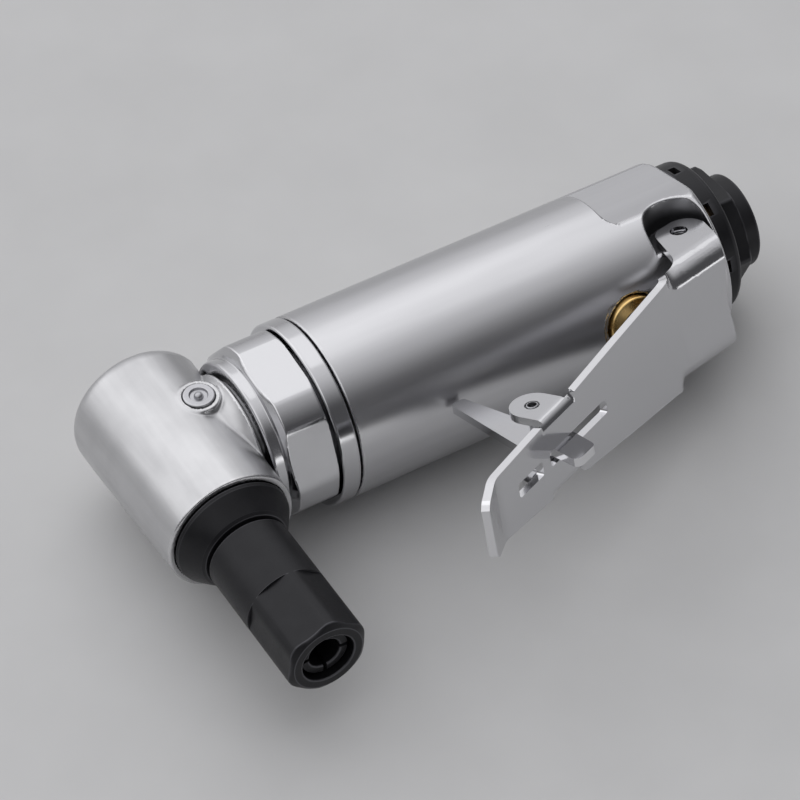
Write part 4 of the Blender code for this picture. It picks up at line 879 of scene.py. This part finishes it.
def foldedLever():
    path = np.array(eased([lever["rear"], (*armStart, lever["bendRound"]),
                           (*alongArm(lever["armLength"], 0), lever["tipRound"]),
                           lever["tipBend"], lever["tip"]], steps=10, closed=False))
    travel = np.concatenate(([0], np.cumsum(np.linalg.norm(np.diff(path, axis=0), axis=1))))
    end = travel[-1]
    bend = float(np.interp(-armStart[0], -path[:, 0], travel))
    tab = bend + lockAlong

    def halfWidth(t):
        return float(np.interp(np.interp(t, travel, path[:, 0]), *leverTaper))

    def outline(start, stop, gap, step):
        return [(t, halfWidth(t)) for t in np.arange(start, stop + gap, step)]

    tabHole = lever["tabFold"] + lever["tabRound"] * math.pi / 2 + lockDrop - lever["tabRound"]
    earHole = lever["earFold"] + lever["earRound"] * math.pi / 2 + lever["earHole"][1] - lever["earRound"]
    front, back = tab + lever["tab"], tab - lever["tab"]
    half = [(end, 0), *outline(end, front, *outlineSteps["tip"]), (front, halfWidth(front))]
    half += circle((tab, tabHole), lever["tab"], count=16, share=0.5)
    half += outline(back, earOutline[0][0], *outlineSteps["arm"])
    half += eased(earOutline, steps=8, closed=False)
    loops = [half + [(t, -w) for t, w in half[-2:0:-1]]]
    for side in (-1, 1):
        loops.append(circle((lever["earHole"][0], side * earHole), lever["pinHole"], count=28))
        loops.append(circle((tab, side * tabHole), lever["lockHole"], count=24))
    for low, high in lever["slots"]:
        loops.append(eased([(bend + t, side * lever["slotHalf"], lever["slotRound"])
                            for t, side in ((low, -1), (high, -1), (high, 1), (low, 1))], steps=3))
    bm = blank(loops)

    def score(t, w, low=-math.inf, high=math.inf):        # a line across the blank, or along a stretch of it
        faces = [face for face in bm.faces if low < face.calc_center_median().x < high]
        around = {part for face in faces for part in (*face.verts, *face.edges)}
        bmesh.ops.bisect_plane(bm, geom=faces + list(around), dist=1e-5,
                               plane_co=(t, w, 0), plane_no=(0, 1, 0) if w else (1, 0, 0))

    tipStart = end - scores["tip"][0]
    for t in (*np.arange(*scores["ear"]), *np.arange(scores["ear"][1], tipStart, scores["arm"]),
              *np.arange(tipStart, end, scores["tip"][1])):
        score(t, 0)
    tabEnd = lever["tabFade"][1]
    for side in (-1, 1):
        score(0, side * scores["middle"])
        for t in np.arange(*lever["tabFade"], scores["tabEdge"]):
            score(tab + side * t, 0)
        for w in np.arange(*scores["earTurn"]):
            score(0, side * (lever["earFold"] + w), high=lever["earFade"][1] + 1)
        for w in np.arange(*scores["tabTurn"]):
            score(0, side * (lever["tabFold"] + w), tab - tabEnd, tab + tabEnd)
    t, w = np.array([vert.co for vert in bm.verts]).T[:2]
    inside = np.clip(t, 0, end)

    def onPath(shift):
        place = np.clip(inside + shift, 0, end)
        return np.stack([np.interp(place, travel, line) for line in path.T], 1)

    spot, near, far = onPath(0), onPath(-lever["aimStep"]), onPath(lever["aimStep"])
    toTip = (far - near) / np.linalg.norm(far - near, axis=1)[:, None]
    spot += toTip * (t - inside)[:, None]
    atEars = t < lever["earEnd"]
    fold, radius = (np.where(atEars, lever["ear" + key], lever["tab" + key]) for key in ("Fold", "Round"))
    earShare = smoothStep((lever["earFade"][1] - t) / np.ptp(lever["earFade"]))
    tabShare = smoothStep((tabEnd - np.abs(t - tab)) / np.ptp(lever["tabFade"]))
    past = np.maximum(np.abs(w) - fold, 0)
    turn = np.minimum(past / radius, np.where(atEars, earShare, tabShare) * math.pi / 2)
    rest = past - turn * radius
    reach = np.sign(w) * (np.minimum(np.abs(w), fold) + radius * np.sin(turn) + rest * np.cos(turn))
    drop = radius * (1 - np.cos(turn)) + rest * np.sin(turn)
    spot += np.stack((-toTip[:, 1], toTip[:, 0]), 1) * drop[:, None]
    places = spot[:, :1] * ahead + spot[:, 1:] * outward + reach[:, None] * sideways
    for vert, place in zip(bm.verts, places * mm + crossing):
        vert.co = place
    bmesh.ops.recalc_face_normals(bm, faces=bm.faces)
    bm.normal_update()
    if max(bm.faces, key=lambda face: face.calc_area()).normal.dot(Vector(outward)) < 0:
        bmesh.ops.reverse_faces(bm, faces=bm.faces)
    return bm


sheetPiece("throttleLever", "throttle_lever", foldedLever(), lever["sheet"], lever["sheared"], offset=-1)

rollPin = {"radius": 1.5, "bore": 1.2, "half": 11.4}
turned("leverPin", "lever_pin", "leverPin", [
    (-rollPin["half"], rollPin["bore"], 0.1), (-rollPin["half"], rollPin["radius"], 0.3),
    (rollPin["half"], rollPin["radius"], 0.3), (rollPin["half"], rollPin["bore"], 0.1)], segments=48)


# lock lever, its pin and its spring

lock = {"half": 0.9, "hole": 1.5, "sheared": 0.2}
lockOutline = [(48.9, 20.2, 0.6), (51.9, 19.9, 0.6), (57.6, 40.2, 3.0), (61.0, 45.7, 1.5), (61.7, 52.7, 1.4),
               (56.1, 55.5, 1.4), (54.9, 47.6, 1.0), (50.9, 44.6, 3.0)]
bm = blank([eased(lockOutline, steps=8), circle(lockPin, lock["hole"], count=32)])
for vert in bm.verts:
    vert.co = Vector((vert.co.x * ahead + vert.co.y * outward) * mm + crossing)
sheetPiece("lockLever", "lock_lever", bm, 2 * lock["half"], lock["sheared"], offset=0)

pin = {"radius": 1.2, "half": 8.3, "hollow": 1.0, "depth": 4.0, "cone": 0.5}
ends = [(pin["half"], pin["radius"], 0.25), (pin["half"], pin["hollow"], 0.08),
        (pin["half"] - pin["depth"], pin["hollow"]), (pin["half"] - pin["depth"] - pin["cone"], 0)]
turned("lockPin", "lock_pin", "lockPin", [(-place, *rest) for place, *rest in ends[::-1]] + ends, segments=48)

lockCoil = {"radius": 2.2, "wire": 0.35, "start": 1.7, "end": 5.6, "turns": 5, "leg": 2.0}
wound("lockSpring", "lock_spring", "lockPin", lockCoil)


# floor, light and camera

floorHalf = 2                                           # metres
floorMesh = bpy.data.meshes.new("floor")
corners = [(x * floorHalf, y * floorHalf, 0) for x, y in ((-1, -1), (1, -1), (1, 1), (-1, 1))]
floorMesh.from_pydata(corners, [], [(0, 1, 2, 3)])
floor = bpy.data.objects.new("floor", floorMesh)
bpy.context.scene.collection.objects.link(floor)
paper = Finish("paper")
pale = paper.between((0.60, 0.60, 0.60), (0.63, 0.63, 0.63), paper.noise(40, 3))
floorMesh.materials.append(paper.give(color=pale, roughness=0.8))

lamps = {                                               # direction from the tool, distance, size, watts
    "key": ((0.25, 0.50, 0.83), 1.00, (0.80, 0.80), 0.7),
    "back": ((-0.57, 0.62, 0.54), 1.00, (1.00, 1.00), 1.0),
    "strip": ((0.42, -0.90, 0.08), 0.80, (1.10, 0.10), 0.5),
    "fill": ((-0.62, -0.30, 0.72), 0.90, (0.60, 0.60), 0.4),
}
for name, (direction, distance, size, watts) in lamps.items():
    light = bpy.data.lights.new(name, "AREA")
    light.shape = "RECTANGLE"
    light.size, light.size_y = size
    light.energy = watts
    lamp = bpy.data.objects.new(name, light)
    bpy.context.scene.collection.objects.link(lamp)
    lamp.location = Vector(direction).normalized() * distance
    lamp.rotation_euler = (-Vector(direction)).to_track_quat("-Z", "Y").to_euler()

glowFrom, glowRange = (-0.12, 0.53, 0.84), (0.06, 0.88)
world = bpy.data.worlds.new("studio")
bpy.context.scene.world = world
world.use_nodes = True
sky = Graph(world.node_tree)
around = sky.add("ShaderNodeTexCoord", output="Generated")
facing = sky.add("ShaderNodeVectorMath", {"operation": "DOT_PRODUCT"}, {0: around, 1: glowFrom},
                 output="Value")
glow = sky.add("ShaderNodeMapRange", {"interpolation_type": "SMOOTHSTEP"},
               {0: facing, 1: glowRange[0], 2: glowRange[1]})
background = world.node_tree.nodes["Background"]
sky.feed(background.inputs["Color"], sky.blend((0.10, 0.10, 0.105, 1), (0.98, 0.98, 1.00, 1), glow))
background.inputs["Strength"].default_value = 1.0

view = {"place": (-0.2267, -0.4755, 0.5635), "right": (0.8397, -0.5423, 0.0278),
        "down": (-0.3405, -0.5656, -0.7511), "forward": (0.4230, 0.6213, -0.6596), "focal": 1300.0,
        "middle": (330.0, 510.0), "frame": 260.0, "photoHalf": 400, "sensor": 36}
shiftRight, shiftDown = ((middle - view["photoHalf"]) / view["focal"] for middle in view["middle"])
forward, right, down = (Vector(view[way]) for way in ("forward", "right", "down"))
aim = (forward + right * shiftRight + down * shiftDown).normalized()
right = (right - aim * right.dot(aim)).normalized()
up = right.cross(aim)
lens = bpy.data.cameras.new("camera")
lens.sensor_width = view["sensor"]
lens.lens = view["sensor"] * math.hypot(1, shiftRight, shiftDown) * view["focal"] / view["frame"]
lens.clip_start = 0.01
camera = bpy.data.objects.new("camera", lens)
bpy.context.scene.collection.objects.link(camera)
spot = Vector(view["place"]) + Vector(crossing)
camera.matrix_world = Matrix([(right[k], up[k], -aim[k], spot[k]) for k in range(3)] + [(0, 0, 0, 1)])
bpy.context.scene.camera = camera
bpy.context.scene.view_settings.view_transform = "Standard"
print("stage: floor,", len(lamps), "lamps, camera")
